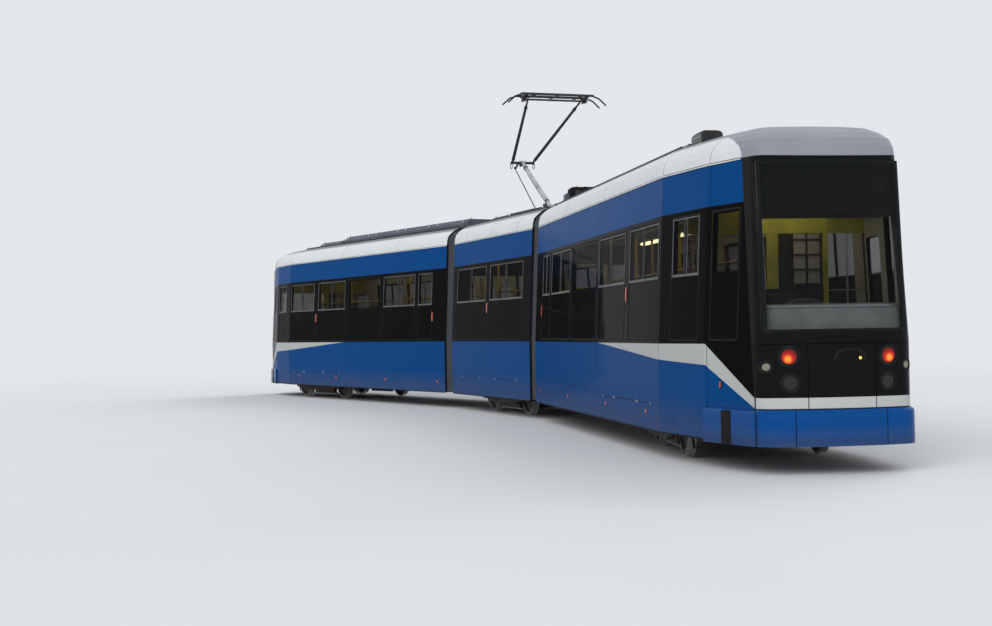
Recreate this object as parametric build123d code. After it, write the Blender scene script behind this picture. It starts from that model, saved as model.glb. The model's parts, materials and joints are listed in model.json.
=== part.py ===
from build123d import *
from math import cos, radians, sin, sqrt, tan
import os

# Low-floor articulated tram in three sections, full size, in millimetres.
# X points forward, Y left, Z up; the origin is on the rail tops, under the middle section's centre.
# Each end section is drawn in its own frame: u runs from its pivot to its nose, v to the left.
os.makedirs("parts", exist_ok=True)

# Overall
half_width = 1200
pivot_spacing = 4838
joint_gap = 600
front_yaw = 10.6
rear_yaw = -10.5
skirt_z = 280
waist_z = 1260
cantrail_z = 3090
tumblehome = 87
wall = 60
seat_play = 0.3

# Side bays of an end section from its pivot to the nose: (pillar, window)
side_bays = [(860, 610), (130, 1470), (140, 1640), (150, 1500), (220, 1400), (400, 710), (270, 510)]
nose_reach = 530

# Plan of an end: straight side, two tapered facets, rounded corner, bowed face
kink_reach = 84
taper_angle = 8
nose_kink_back = 1150
nose_taper_angle = 15
corner_radius = 200
face_radius = 2200
face_rake = 170

# Roof: height above the cantrail, how far the sides draw in, how far the nose sets back
roof_levels = [
    (0, 0, 0),
    (90, 8, 13),
    (170, 35, 32),
    (240, 105, 72),
    (300, 190, 144),
    (340, 285, 288),
    (370, 560, 608),
]
ceiling_z = 2800
ceiling_end_back = 740
display_foot_z = 2500

# Mask, windscreen and bumper
mask_foot_z = 724
mask_foot_back = 250
mask_waist_back = 290
mask_top_reach = -10
screen_foot_z = 1360
screen_top_z = 3030
screen_margin = 475
glass_thickness = 10
glass_inset = 2
bumper_top_z = 610
bumper_foot_z = 255
bumper_start_back = 1120
bumper_corner_radius = 90
bumper_proud = 40
bumper_thickness = 110
bumper_edge_radius = 45
lens_inset = 3

# Floors
floor_z = 360
floor_thickness = 60
raised_floor_z = 720
step_reach = 650

# Side windows and doors
window_foot_z = 1290
window_top_z = 2600
door_foot_z = 345
door_top_z = 2560
door_thickness = 40
door_play = 6
door_rail = 80
door_inset = 50
door_leaf = 650
door_glass_foot_z = 1040
door_glass_top_z = 2370

# Running gear
wheel_radius = 295
flange_height = 25
wheel_back = 690
wheel_width = 105
tread_width = 82
wheelbase = 1800
bogie_reach = 430
axle_radius = 65
journal_radius = 50
journal_play = 0.3
journal_end = 955
hub_radius = 95
hub_bore = 52
beam_y = 915
beam_overhang = 130
beam_thickness = 90
bogie_pivot_radius = 60
bogie_pivot_play = 0.5
bogie_pivot_gap = 6
bogie_ring_radius = 260
bogie_ring_top_z = 540
bogie_pin_foot_z = 330
transom_half = 230
transom_foot_z = 250
transom_top_z = 420
motor_x = 400
gear_reach = 110
gear_half = 80
motor_z = 330
motor_radius = 175
motor_half = 380
brake_y0 = 715
brake_y1 = 785
brake_half = 450
brake_foot_z = 80
low_beam_z = 150
low_ring_top_z = 290
low_ring_radius = 200
low_pin_foot_z = 180
crank_y = 680
crank_thickness = 30
crank_half = 70
end_bogie_yaw = 5.3

# Articulation
disc_radius = 640
disc_neck_half = 450
disc_play = 10
disc_foot_z = 330
joint_plate_gap = 6
tongue_foot_z = 270
tongue_half = 250
tongue_root = 700
joint_pin_radius = 60
joint_pin_play = 0.5
hoop_inset = 35
hoop_thickness = 70
hoop_foot_z = 300
portal_margin = 420
portal_top_z = 2500
end_wall = 50

# Wheel boxes of the middle section
wheel_box_x = 1350
wheel_box_y = 490
wheel_box_wall = 40
wheel_box_z = 700

# Jacking pads under the end floors, behind the step
jack_back = 200
jack_inset = 250
jack_pad = 160
jack_pad_z = 250

# Inside
seat_height = 430
seat_back = 560
seat_margin = 45
box_seat_margin = 60
box_seat_back = 260
box_seat_end = 350
pole_radius = 17
rail_z = 2150
# Rows of grab poles: (v, numbers of the bays where one stands)
end_pole_rows = [(220, (1, 2, 3, 4, 5)), (-420, (1, 2, 3))]
desk_back = 1040
desk_front_z = 1280
desk_top_z = 1400
desk_half_width = 620

# Roof equipment, along the section: (from, to, distance in from the roof edge, top)
gear_foot_z = 3300
front_gear = [(500, 6300, 553, 3610), (6700, 7900, 613, 3560)]
rear_gear = [(4200, 5600, 613, 3600), (6300, 7000, 613, 3600), (7100, 7500, 643, 3690)]
middle_gear = [(-2000, -1500, 663, 3560), (1250, 2000, 663, 3560)]

# Pantograph
mast_x = -50
mast_z = 3640
lower_length = 1678
lower_angle = 33.3
upper_length = 1936
upper_angle = 28.4
arm_tube_radius = 32
upper_tube_radius = 17
knee_half_width = 200
knee_tube_radius = 24
knee_sleeve_half = 60
head_half_width = 500
head_rise = 60
arm_pin_radius = 15
arm_pin_play = 0.3
pan_base_half = 400
pan_pivot_half = 112
frame_top_z = 3570
frame_bar = 50
insulator_radius = 45
# Guide rod: its lower eye from the lower arm's pivot, its upper eye from the knee
rod_foot = (450, -35)
rod_eye = (162, -78)
rod_y = 100
rod_radius = 9
rod_eye_half = 11
lever_y = 78
lever_thickness = 14
# Collector head
pan_half_width = 660
horn_half_width = 920
horn_drop = 165
strip_spacing = 300
strip_width = 60
strip_height = 35
horn_radius = 14


def solids_of(shapes):
    """Keeps several separate solids together as one node."""
    bodies = []
    for shape in shapes:
        bodies.extend(shape.solids())
    return Compound(bodies)


def block(x0, x1, y0, y1, z0, z1):
    """Box between two corners."""
    return Pos((x0 + x1) / 2, (y0 + y1) / 2, (z0 + z1) / 2) * Box(x1 - x0, y1 - y0, z1 - z0)


def rod(start, end, radius):
    """Round bar between two points."""
    axis = Vector(*end) - Vector(*start)
    return extrude(Plane(origin=start, z_dir=axis) * Circle(radius), axis.length)


def drum(x, y0, y1, z, radius):
    """Cylinder lying across the tram."""
    return rod((x, y0, z), (x, y1, z), radius)


def post(x, y, z0, z1, radius):
    """Upright cylinder."""
    return rod((x, y, z0), (x, y, z1), radius)


def save(name, shape):
    """Writes one piece."""
    export_step(shape, f"parts/{name}.step")


def place(shape, car):
    """Moves a shape from a section's own frame to where that section stands."""
    if car == "front":
        return Pos(pivot_spacing / 2, 0, 0) * Rot(0, 0, front_yaw) * shape
    if car == "rear":
        return Pos(-pivot_spacing / 2, 0, 0) * Rot(0, 0, rear_yaw) * shape.mirror(Plane.YZ)
    return shape


def lean_at(z):
    """Share of the lean reached at height z: none up to the waist, all of it at the cantrail."""
    return max(0.0, (z - waist_z) / (cantrail_z - waist_z))


def end_plan(z, start_u, inset=0.0, set_back=0.0, rounding=0.0):
    """Plan of an end section at height z, drawn in by inset, from start_u to the nose."""
    width = half_width - tumblehome * lean_at(min(z, cantrail_z)) - inset
    nose = nose_u - face_rake * lean_at(min(z, cantrail_z)) - inset - set_back
    first_slope = radians(taper_angle)
    slope = radians(nose_taper_angle)
    corner = corner_radius - inset + rounding
    face = face_radius - inset
    along = Vector(cos(slope), -sin(slope))
    inward = Vector(-sin(slope), -cos(slope))
    first_kink = Vector(kink_u - inset * tan(first_slope / 2) - set_back, width)
    # The second kink lies on the first facet, drawn in square to the line between both facets
    mean = (first_slope + slope) / 2
    drawn = inset / cos((slope - first_slope) / 2)
    facet_end = width + inset - (nose_kink_u - kink_u) * tan(first_slope)
    kink = Vector(nose_kink_u - drawn * sin(mean) - set_back, facet_end - drawn * cos(mean))
    centre = Vector(nose - face, 0)
    first = kink + inward * corner
    reach = first - centre
    half_step = reach.dot(along)
    step = sqrt(half_step**2 - reach.dot(reach) + (face - corner) ** 2) - half_step
    hub = first + along * step
    outward = (hub - centre).normalized()
    side = kink + along * step
    middle = hub + (outward - inward).normalized() * corner
    front = hub + outward * corner
    left = [(start_u, width)] + [(point.X, point.Y) for point in (first_kink, kink, side, middle, front)]
    right = [(u, -v) for u, v in left]
    edges = [
        Line(right[0], left[0]),
        Line(left[0], left[1]),
        Line(left[1], left[2]),
        Line(left[2], left[3]),
        ThreePointArc(left[3], left[4], left[5]),
        ThreePointArc(left[5], (nose, 0), right[5]),
        ThreePointArc(right[5], right[4], right[3]),
        Line(right[3], right[2]),
        Line(right[2], right[1]),
        Line(right[1], right[0]),
    ]
    return Pos(0, 0, z) * make_face(edges)


def end_body(start_u, inset=0.0, foot_z=skirt_z):
    """Solid of an end section up to the cantrail: upright to the waist, leaning in above it."""
    lower = Pos(0, 0, foot_z) * extrude(end_plan(0, start_u, inset), waist_z - foot_z)
    upper = loft([end_plan(waist_z, start_u, inset), end_plan(cantrail_z, start_u, inset)], ruled=True)
    return lower + upper


def straight_section(x, inset=0.0, foot_z=skirt_z, roofed=False):
    """Cross-section of the straight body in the plane across the tram at x."""
    side = [(half_width - inset, foot_z), (half_width - inset, waist_z)]
    edge = half_width - tumblehome - inset
    if roofed:
        side += [(edge - draw_in, cantrail_z + rise - inset * rise / roof_levels[-1][0])
                 for rise, draw_in, _ in roof_levels]
    else:
        side += [(edge, cantrail_z)]
    points = side + [(-y, z) for y, z in reversed(side)]
    return Pos(x, 0, 0) * (Plane.YZ * make_face(Polyline(*points, close=True)))


def straight_body(x0, x1, inset=0.0, foot_z=skirt_z):
    """Solid of the straight body between two stations, up to the cantrail."""
    return extrude(straight_section(x0, inset, foot_z), x1 - x0)


def bay_spans():
    """Where each side bay's window starts and ends along u."""
    spans = []
    u = 0
    for pillar, window in side_bays:
        spans.append((u + pillar, u + pillar + window))
        u += pillar + window
    return spans


# Stations that follow from the driving sizes
bays = bay_spans()
last_window_u = bays[6][1]
nose_u = last_window_u + nose_reach
kink_u = bays[4][1] + kink_reach
nose_kink_u = nose_u - nose_kink_back
raised_floor_u = bays[3][0] + step_reach
bogie_u = bays[4][0] + bogie_reach
ceiling_end_u = nose_u - ceiling_end_back
mask_foot_u = nose_u - mask_foot_back
mask_waist_u = nose_u - mask_waist_back
mask_top_u = last_window_u + mask_top_reach
bumper_start_u = nose_u - bumper_start_back
desk_back_u = nose_u - desk_back
joint_u = joint_gap / 2
reach_u = nose_u + 500
far_y = half_width + 300
side_y = far_y - 900
middle_end = pivot_spacing / 2 - joint_u
inner_half = half_width - wall
seat_edge = inner_half - seat_margin
screen_half_width = half_width - screen_margin
portal_half_width = half_width - portal_margin
roof_half = half_width - tumblehome
jack_u = raised_floor_u - jack_back
jack_y = half_width - jack_inset

# Windows of an end section's sides, along u: (start, end); the right side has doorways in two bays
left_windows = bays
right_windows = [bays[0], bays[2], bays[3], bays[4], bays[6]]
# Door leaves on the right side, along u: (start, end)
first_leaf = (bays[1][0] + door_inset, bays[1][0] + door_inset + door_leaf)
second_leaf = (first_leaf[1] + door_play, first_leaf[1] + door_play + door_leaf)
door_leaves = [first_leaf, second_leaf, bays[5]]
# Doorways that the leaves fill, along u: (start, end)
doorways = [(first_leaf[0], second_leaf[1]), bays[5]]
# Windows of the middle section, along x: (start, end)
middle_windows = [(-1750, -30), (160, 1860)]
# Seats of an end section: (number of the bay, u from its start, v from, v to, floor, facing)
end_seat_table = [
    (0, 40, 300, seat_edge, floor_z, 1),
    (1, 250, 300, seat_edge, floor_z, -1),
    (1, 900, 300, seat_edge, floor_z, 1),
    (2, 140, 300, seat_edge, floor_z, -1),
    (2, 790, 300, seat_edge, floor_z, 1),
    (2, 1640, 300, seat_edge, floor_z, -1),
    (2, 390, -seat_edge, -640, floor_z, 1),
    (2, 1290, -seat_edge, -640, floor_z, 1),
    (3, 1200, 300, seat_edge, raised_floor_z, 1),
    (4, 280, 300, seat_edge, raised_floor_z, 1),
    (4, 1080, 300, seat_edge, raised_floor_z, 1),
    (3, 1200, -seat_edge, -300, raised_floor_z, 1),
    (4, 280, -seat_edge, -300, raised_floor_z, 1),
    (4, 1080, -seat_edge, -300, raised_floor_z, 1),
]
# Lamps of an end: (v, z, radius); each is made on both sides
lamps = [(500, 1123, 95), (492, 868, 88), (710, 1025, 55)]


def mask_space(play=0.0):
    """Space in front of the line where the black mask meets the painted body."""
    points = [
        (mask_foot_u + play, 0),
        (mask_foot_u + play, mask_foot_z),
        (mask_waist_u + play, waist_z),
        (mask_top_u + play, cantrail_z),
        (reach_u, cantrail_z),
        (reach_u, 0),
    ]
    return extrude(Plane.XZ * make_face(Polyline(*points, close=True)), far_y, both=True)


def side_prism(start, end, side, z0, z1):
    """Prism through one side wall."""
    near, far = sorted((side * side_y, side * far_y))
    return block(start, end, near, far, z0, z1)


def end_shell():
    """Painted body of an end section: both sides from the joint to the mask, with the portal wall."""
    shell = end_body(joint_u) - end_body(joint_u + end_wall, wall, -1)
    shell -= block(0, joint_u + end_wall + 1, -portal_half_width, portal_half_width, 0, portal_top_z)
    for start, end in left_windows:
        shell -= side_prism(start, end, 1, window_foot_z, window_top_z)
    for start, end in right_windows:
        shell -= side_prism(start, end, -1, window_foot_z, window_top_z)
    for start, end in doorways:
        shell -= side_prism(start - door_play, end + door_play, -1, 0, door_top_z + seat_play)
    shell -= mask_space()
    shell -= block(bumper_start_u - seat_play, reach_u, -far_y, far_y, 0, bumper_top_z + seat_play)
    return shell


def end_glass():
    """Side panes of an end section and of its doors, flush with the walls."""
    outer = end_body(joint_u, glass_inset)
    inner = end_body(joint_u, glass_inset + glass_thickness)
    panes = []
    for side, table in ((1, left_windows), (-1, right_windows)):
        for start, end in table:
            panes.append((outer & side_prism(start, end, side, window_foot_z, window_top_z)) - inner)
    for start, end in door_leaves:
        frame = side_prism(start + door_rail, end - door_rail, -1, door_glass_foot_z, door_glass_top_z)
        panes.append((outer & frame) - inner)
    return solids_of(panes)


def end_doors():
    """Door leaves on the right side, each with its window cut out."""
    layer = end_body(joint_u, seat_play) - end_body(joint_u - 1, seat_play + door_thickness)
    leaves = []
    for start, end in door_leaves:
        leaf = layer & side_prism(start, end, -1, door_foot_z, door_top_z)
        leaf -= side_prism(start + door_rail, end - door_rail, -1, door_glass_foot_z, door_glass_top_z)
        leaves.append(leaf)
    return solids_of(leaves)


def lamp_bores(play):
    """Bores for the lamps of an end, along the tram."""
    bores = []
    for v, z, radius in lamps:
        for side in (1, -1):
            bores.append(rod((mask_top_u - 300, side * v, z), (reach_u, side * v, z), radius + play))
    return bores


def end_mask():
    """Black moulded end: ring round the windscreen and the lamp panel below it."""
    mask = (end_body(joint_u) & mask_space(seat_play)) - end_body(joint_u - 1, wall, -1)
    mask -= block(0, reach_u, -far_y, far_y, 0, bumper_top_z + seat_play)
    mask -= block(0, reach_u, -screen_half_width, screen_half_width, screen_foot_z, screen_top_z)
    for bore in lamp_bores(seat_play):
        mask -= bore
    return mask


def end_lamps():
    """Lamps of an end, their lenses following the mask."""
    layer = (end_body(joint_u, lens_inset) & mask_space(seat_play)) - end_body(joint_u - 1, wall, -1)
    return solids_of([layer & bore for bore in lamp_bores(0)])


def end_screen():
    """Windscreen: a bowed strip of glass, raked back with the face."""
    centre = nose_u - face_radius
    outer = face_radius - glass_inset
    ring = Circle(outer) - Circle(outer - glass_thickness)
    ring &= Pos(outer, 0) * Rectangle(2 * face_rake, 2 * screen_half_width)
    raked = Vector(-face_rake, 0, cantrail_z - waist_z)
    glass = extrude(Pos(centre, 0, waist_z) * ring, raked.length, dir=raked)
    return glass & block(0, reach_u, -far_y, far_y, screen_foot_z, screen_top_z)


def end_bumper():
    """Bumper that wraps the nose below the mask."""
    bumper = Pos(0, 0, bumper_foot_z) * extrude(end_plan(0, joint_u, -bumper_proud), bumper_top_z - bumper_foot_z)
    bumper &= block(bumper_start_u, reach_u, -far_y, far_y, 0, cantrail_z)
    brow = [e for e in bumper.edges() if e.bounding_box().min.Z > bumper_top_z - 1 and e.center().X > bumper_start_u + 1]
    bumper = fillet(brow, bumper_edge_radius)
    corner = block(bumper_start_u - 1, bumper_start_u + bumper_corner_radius, -far_y, far_y,
                   bumper_top_z - bumper_corner_radius, bumper_top_z + 1)
    corner -= drum(bumper_start_u + bumper_corner_radius, -far_y, far_y, bumper_top_z - bumper_corner_radius,
                   bumper_corner_radius)
    return bumper - corner - extrude(end_plan(0, joint_u - 1, bumper_thickness), cantrail_z)


def end_roof():
    """Roof of an end section: rounded edges, domed end over the face, ceiling let in between the walls."""
    roof = None
    for (low, low_in, low_back), (high, high_in, high_back) in zip(roof_levels, roof_levels[1:]):
        below = Pos(0, 0, low) * end_plan(cantrail_z, joint_u, low_in, low_back, low_in)
        above = Pos(0, 0, high) * end_plan(cantrail_z, joint_u, high_in, high_back, high_in)
        band = loft([below, above], ruled=True)
        roof = band if roof is None else roof + band
    ceiling = extrude(end_plan(cantrail_z, joint_u + end_wall + seat_play, wall + seat_play), ceiling_z - cantrail_z)
    ceiling -= block(ceiling_end_u, reach_u, -far_y, far_y, 0, cantrail_z)
    return roof + ceiling


def end_display():
    """Destination box behind the top of the windscreen."""
    half = screen_half_width - 20
    box = block(ceiling_end_u + seat_play, reach_u, -half, half, display_foot_z, cantrail_z)
    return box & end_body(joint_u, wall + seat_play)


def end_floor():
    """Floor of an end section: low from the joint to the step, raised over the bogie and the nose."""
    points = [
        (joint_u + end_wall + seat_play, floor_z - floor_thickness),
        (raised_floor_u + floor_thickness, floor_z - floor_thickness),
        (raised_floor_u + floor_thickness, raised_floor_z - floor_thickness),
        (reach_u, raised_floor_z - floor_thickness),
        (reach_u, raised_floor_z),
        (raised_floor_u, raised_floor_z),
        (raised_floor_u, floor_z),
        (joint_u + end_wall + seat_play, floor_z),
    ]
    slab = extrude(Plane.XZ * make_face(Polyline(*points, close=True)), far_y, both=True)
    floor = slab & extrude(end_plan(0, joint_u, wall + seat_play), cantrail_z)
    disc = post(0, 0, disc_foot_z, floor_z, disc_radius)
    tongue = block(0, joint_u + end_wall + 100, -disc_neck_half, disc_neck_half, disc_foot_z, floor_z)
    floor = floor + disc + tongue
    floor -= post(0, 0, 0, waist_z, joint_pin_radius + joint_pin_play)
    bolster_foot = bogie_ring_top_z + bogie_pivot_gap
    floor += post(bogie_u, 0, bolster_foot, raised_floor_z - floor_thickness, bogie_ring_radius)
    floor += post(bogie_u, 0, bogie_pin_foot_z, bolster_foot, bogie_pivot_radius)
    half = jack_pad / 2
    for y in (-jack_y, jack_y):
        floor += block(jack_u - half, jack_u + half, y - half, y + half, jack_pad_z, floor_z - floor_thickness)
    return floor


def seat(x, y0, y1, base_z, facing):
    """Seat of one or two places with its pedestal, side profile extruded across the tram."""
    profile = [
        (-150, 0),
        (120, 0),
        (150, seat_height - 80),
        (230, seat_height - 60),
        (230, seat_height),
        (-180, seat_height - 20),
        (-270, seat_height + seat_back),
        (-320, seat_height + seat_back),
        (-230, seat_height - 90),
        (-150, seat_height - 100),
    ]
    points = [(x + facing * a, base_z + b) for a, b in profile]
    return extrude(Pos(0, y0, 0) * (Plane.XZ * make_face(Polyline(*points, close=True))), -(y1 - y0))


def end_seats():
    """Seats of an end section, from their table."""
    made = [seat(bays[bay][0] + u, v0, v1, base + seat_play, facing)
            for bay, u, v0, v1, base, facing in end_seat_table]
    return solids_of(made)


def pole_row(y, stations):
    """Grab poles from floor to ceiling along one side of the aisle, and the rail beside them."""
    rail_y = y + 2 * pole_radius + seat_play
    row = [rod((stations[0][0], rail_y, rail_z), (stations[-1][0], rail_y, rail_z), pole_radius)]
    for x, base in stations:
        row.append(post(x, y, base + seat_play, ceiling_z - seat_play, pole_radius))
    return row


def end_poles():
    """Grab poles of an end section, at the pillars between its windows."""
    made = []
    for v, numbers in end_pole_rows:
        stations = [bays[number][0] for number in numbers]
        made += pole_row(v, [(u, floor_z if u < raised_floor_u else raised_floor_z) for u in stations])
    return solids_of(made)


def end_desk():
    """Driver's desk behind the windscreen."""
    profile = [
        (desk_back_u, raised_floor_z + seat_play),
        (nose_u, raised_floor_z + seat_play),
        (nose_u, desk_front_z),
        (desk_back_u + 260, desk_front_z + 60),
        (desk_back_u, desk_top_z - 90),
    ]
    desk = extrude(Plane.XZ * make_face(Polyline(*profile, close=True)), desk_half_width, both=True)
    return desk & end_body(joint_u, wall + seat_play, 0)


def roof_box(x0, x1, margin, z1, edge=60):
    """Roof equipment housing with chamfered long edges."""
    half = roof_half - margin
    points = [(-half, gear_foot_z), (half, gear_foot_z), (half, z1 - edge), (half - edge, z1),
              (edge - half, z1), (-half, z1 - edge)]
    return extrude(Pos(x0, 0, 0) * (Plane.YZ * make_face(Polyline(*points, close=True))), x1 - x0)


def seated_gear(boxes, roof):
    """Housings cut to sit on the roof."""
    return solids_of([roof_box(*box) - roof for box in boxes])


# Middle section


def middle_shell():
    """Painted body of the middle section with a portal wall at each end."""
    shell = straight_body(-middle_end, middle_end) - straight_body(-middle_end + end_wall, middle_end - end_wall, wall, 0)
    shell -= block(-middle_end - 1, middle_end + 1, -portal_half_width, portal_half_width, 0, portal_top_z)
    for side in (1, -1):
        for start, end in middle_windows:
            shell -= side_prism(start, end, side, window_foot_z, window_top_z)
    return shell


def middle_glass():
    """Side panes of the middle section."""
    layer = straight_body(-middle_end, middle_end, glass_inset)
    layer -= straight_body(-middle_end - 1, middle_end + 1, glass_inset + glass_thickness)
    panes = []
    for side in (1, -1):
        for start, end in middle_windows:
            panes.append(layer & side_prism(start, end, side, window_foot_z, window_top_z))
    return solids_of(panes)


def middle_roof():
    """Roof of the middle section with its ceiling let in between the walls."""
    section = straight_section(-middle_end, 0, skirt_z, True)
    roof = extrude(section, 2 * middle_end) - block(-reach_u, reach_u, -far_y, far_y, 0, cantrail_z)
    inner = straight_section(-middle_end + end_wall + seat_play, wall + seat_play)
    ceiling = extrude(inner, 2 * (middle_end - end_wall - seat_play))
    ceiling -= block(-reach_u, reach_u, -far_y, far_y, 0, ceiling_z)
    return roof + ceiling


def middle_floor():
    """Floor of the middle section: low aisle, wheel boxes along both sides, a bearing tongue at each end."""
    end = middle_end - end_wall - seat_play
    side = inner_half - seat_play
    floor = block(-end, end, -side, side, floor_z - floor_thickness, floor_z)
    for s in (1, -1):
        low, high = sorted((s * wheel_box_y, s * side))
        floor += block(-wheel_box_x, wheel_box_x, low, high, floor_z - floor_thickness, wheel_box_z)
        low, high = sorted((s * (wheel_box_y + wheel_box_wall), s * far_y))
        inside = wheel_box_x - wheel_box_wall
        floor -= block(-inside, inside, low, high, 0, wheel_box_z - wheel_box_wall)
    for s in (1, -1):
        pivot = s * pivot_spacing / 2
        floor -= post(pivot, 0, 0, waist_z, disc_radius + disc_play)
        root = s * (middle_end - end_wall - tongue_root)
        low, high = sorted((root, pivot))
        floor += block(low, high, -tongue_half, tongue_half, tongue_foot_z, disc_foot_z - joint_plate_gap)
        floor += post(pivot, 0, tongue_foot_z, disc_foot_z - joint_plate_gap, tongue_half)
        floor += post(pivot, 0, tongue_foot_z, floor_z - 5, joint_pin_radius)
    floor += post(0, 0, low_pin_foot_z, floor_z - floor_thickness, bogie_pivot_radius)
    return floor


def middle_seats():
    """Seats on the wheel boxes, facing each other in pairs."""
    made = []
    for side in (1, -1):
        low, high = sorted((side * (wheel_box_y + box_seat_margin), side * (inner_half - box_seat_margin)))
        for end in (1, -1):
            made.append(seat(end * (wheel_box_x - box_seat_end), low, high, wheel_box_z + seat_play, -end))
            made.append(seat(end * box_seat_back, low, high, wheel_box_z + seat_play, end))
    return solids_of(made)


def middle_poles():
    """Grab poles at the ends and the middle of the wheel boxes."""
    made = []
    reach = wheel_box_x + 150
    for side in (1, -1):
        made += pole_row(side * (wheel_box_y - 30), [(x, floor_z) for x in (-reach, 0, reach)])
    return solids_of(made)


def hoop(car):
    """Bellows between the middle section and an end section: legs and top, open at the foot."""
    side = 1 if car == "front" else -1

    def pair(inset, foot_z, over):
        first = straight_section(side * (middle_end - over), inset, foot_z, True)
        second = place(straight_section(joint_u + over, inset, foot_z, True), car)
        return loft([first, second], ruled=True)

    return pair(hoop_inset, hoop_foot_z, -seat_play) - pair(hoop_inset + hoop_thickness, hoop_foot_z - 1, 1)


# Bogies and wheels


def wheel_face():
    """Half-section of a wheel on the left: flange on the inner side, dished web, hub."""
    flange = wheel_radius + flange_height
    back = wheel_back
    tread = wheel_back + wheel_width - tread_width
    out = wheel_back + wheel_width
    rim = wheel_radius - 50
    points = [
        (back, hub_bore), (back, flange - 12), (back + 14, flange), (tread, wheel_radius),
        (out, wheel_radius), (out, rim), (out - 35, rim - 15), (out - 35, hub_radius + 15), (out, hub_radius),
        (out, hub_bore),
    ]
    return Plane.YZ * make_face(Polyline(*points, close=True))


def wheel(x, side):
    """One wheel turning by itself on a stub axle."""
    made = revolve(wheel_face(), Axis.Y, 360)
    if side < 0:
        made = made.mirror(Plane.XZ)
    return Pos(x, 0, wheel_radius) * made


def wheelset(x):
    """Two wheels on one axle, with a journal outside each wheel."""
    left = revolve(wheel_face(), Axis.Y, 360)
    hubs = left + left.mirror(Plane.XZ)
    out = wheel_back + wheel_width
    axle = drum(0, -out, out, 0, axle_radius)
    journal = drum(0, -journal_end, journal_end, 0, journal_radius)
    made = hubs + axle + journal + drum(0, -out, -wheel_back, 0, hub_bore + 1) + drum(0, wheel_back, out, 0, hub_bore + 1)
    return Pos(x, 0, wheel_radius) * made


def side_beam(side):
    """Side beam of a bogie: axle box at each end, dropped middle."""
    half = wheelbase / 2 + beam_overhang
    box = half - 2 * beam_overhang
    foot, top = wheel_radius - 80, wheel_radius + 75
    points = [
        (-half, foot), (-box, foot), (30 - box, foot - 50), (box - 30, foot - 50), (box, foot), (half, foot),
        (half, top), (box - 30, top), (box - 220, top - 40), (220 - box, top - 40), (30 - box, top), (-half, top),
    ]
    beam = extrude(Plane.XZ * make_face(Polyline(*points, close=True)), beam_thickness / 2, both=True)
    return Pos(0, side * beam_y, 0) * beam


def bogie_frame(low):
    """Bogie frame: two side beams, what joins them, and the bearing for the pivot pin."""
    inner = beam_y - beam_thickness / 2
    out = wheel_back + wheel_width
    frame = side_beam(1) + side_beam(-1)
    if low:
        for x in (-transom_half, transom_half):
            frame += block(x - 70, x + 70, -inner - 20, inner + 20, low_beam_z, low_beam_z + 90)
        frame += block(-transom_half, transom_half, -150, 150, low_beam_z, low_beam_z + 90)
        frame += post(0, 0, low_beam_z, low_ring_top_z, low_ring_radius)
        for x in (-wheelbase / 2, wheelbase / 2):
            frame += block(x - crank_half, x + crank_half, -crank_y, crank_y, low_beam_z - 50, low_beam_z + 40)
            for s in (1, -1):
                low_y, high_y = sorted((s * (crank_y - crank_thickness), s * crank_y))
                frame += block(x - crank_half, x + crank_half, low_y, high_y, low_beam_z - 50, wheel_radius + 70)
                frame += drum(x, s * (crank_y - 10), s * (inner + 10), wheel_radius, hub_bore - journal_play)
    else:
        frame += block(-transom_half, transom_half, -inner - 20, inner + 20, transom_foot_z, transom_top_z)
        frame += post(0, 0, transom_foot_z, bogie_ring_top_z, bogie_ring_radius)
        for s in (1, -1):
            frame += drum(s * motor_x, -motor_half, motor_half, motor_z, motor_radius)
            low_x, high_x = sorted((s * motor_x, s * (wheelbase / 2 + gear_reach)))
            y = s * motor_half
            frame += block(low_x, high_x, y - gear_half, y + gear_half, wheel_radius - 125, transom_top_z)
    for s in (1, -1):
        low_y, high_y = sorted((s * brake_y0, s * brake_y1))
        frame += block(-brake_half, brake_half, low_y, high_y, brake_foot_z, brake_foot_z + 95)
        for x in (-330, 330):
            low_b, high_b = sorted((s * brake_y0, s * (inner + 20)))
            frame += block(x - 25, x + 25, low_b, high_b, brake_foot_z + 85, brake_foot_z + 125)
    frame -= post(0, 0, 0, waist_z, bogie_pivot_radius + bogie_pivot_play)
    if not low:
        for x in (-wheelbase / 2, wheelbase / 2):
            frame -= drum(x, -far_y, far_y, wheel_radius, journal_radius + journal_play)
            frame -= drum(x, -out, out, wheel_radius, axle_radius + journal_play)
    return frame


def on_bogie(shape, yaw):
    """Turns a bogie piece by its yaw and moves it under an end section."""
    return Pos(bogie_u, 0, 0) * Rot(0, 0, yaw) * shape


# Pantograph


def knee():
    """Knee of the pantograph at rest."""
    angle = radians(lower_angle)
    return mast_x + lower_length * cos(angle), mast_z + lower_length * sin(angle)


def head_bar():
    """Top bar of the pantograph at rest."""
    knee_x, knee_z = knee()
    angle = radians(upper_angle)
    return knee_x - upper_length * cos(angle), knee_z + upper_length * sin(angle)


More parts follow.
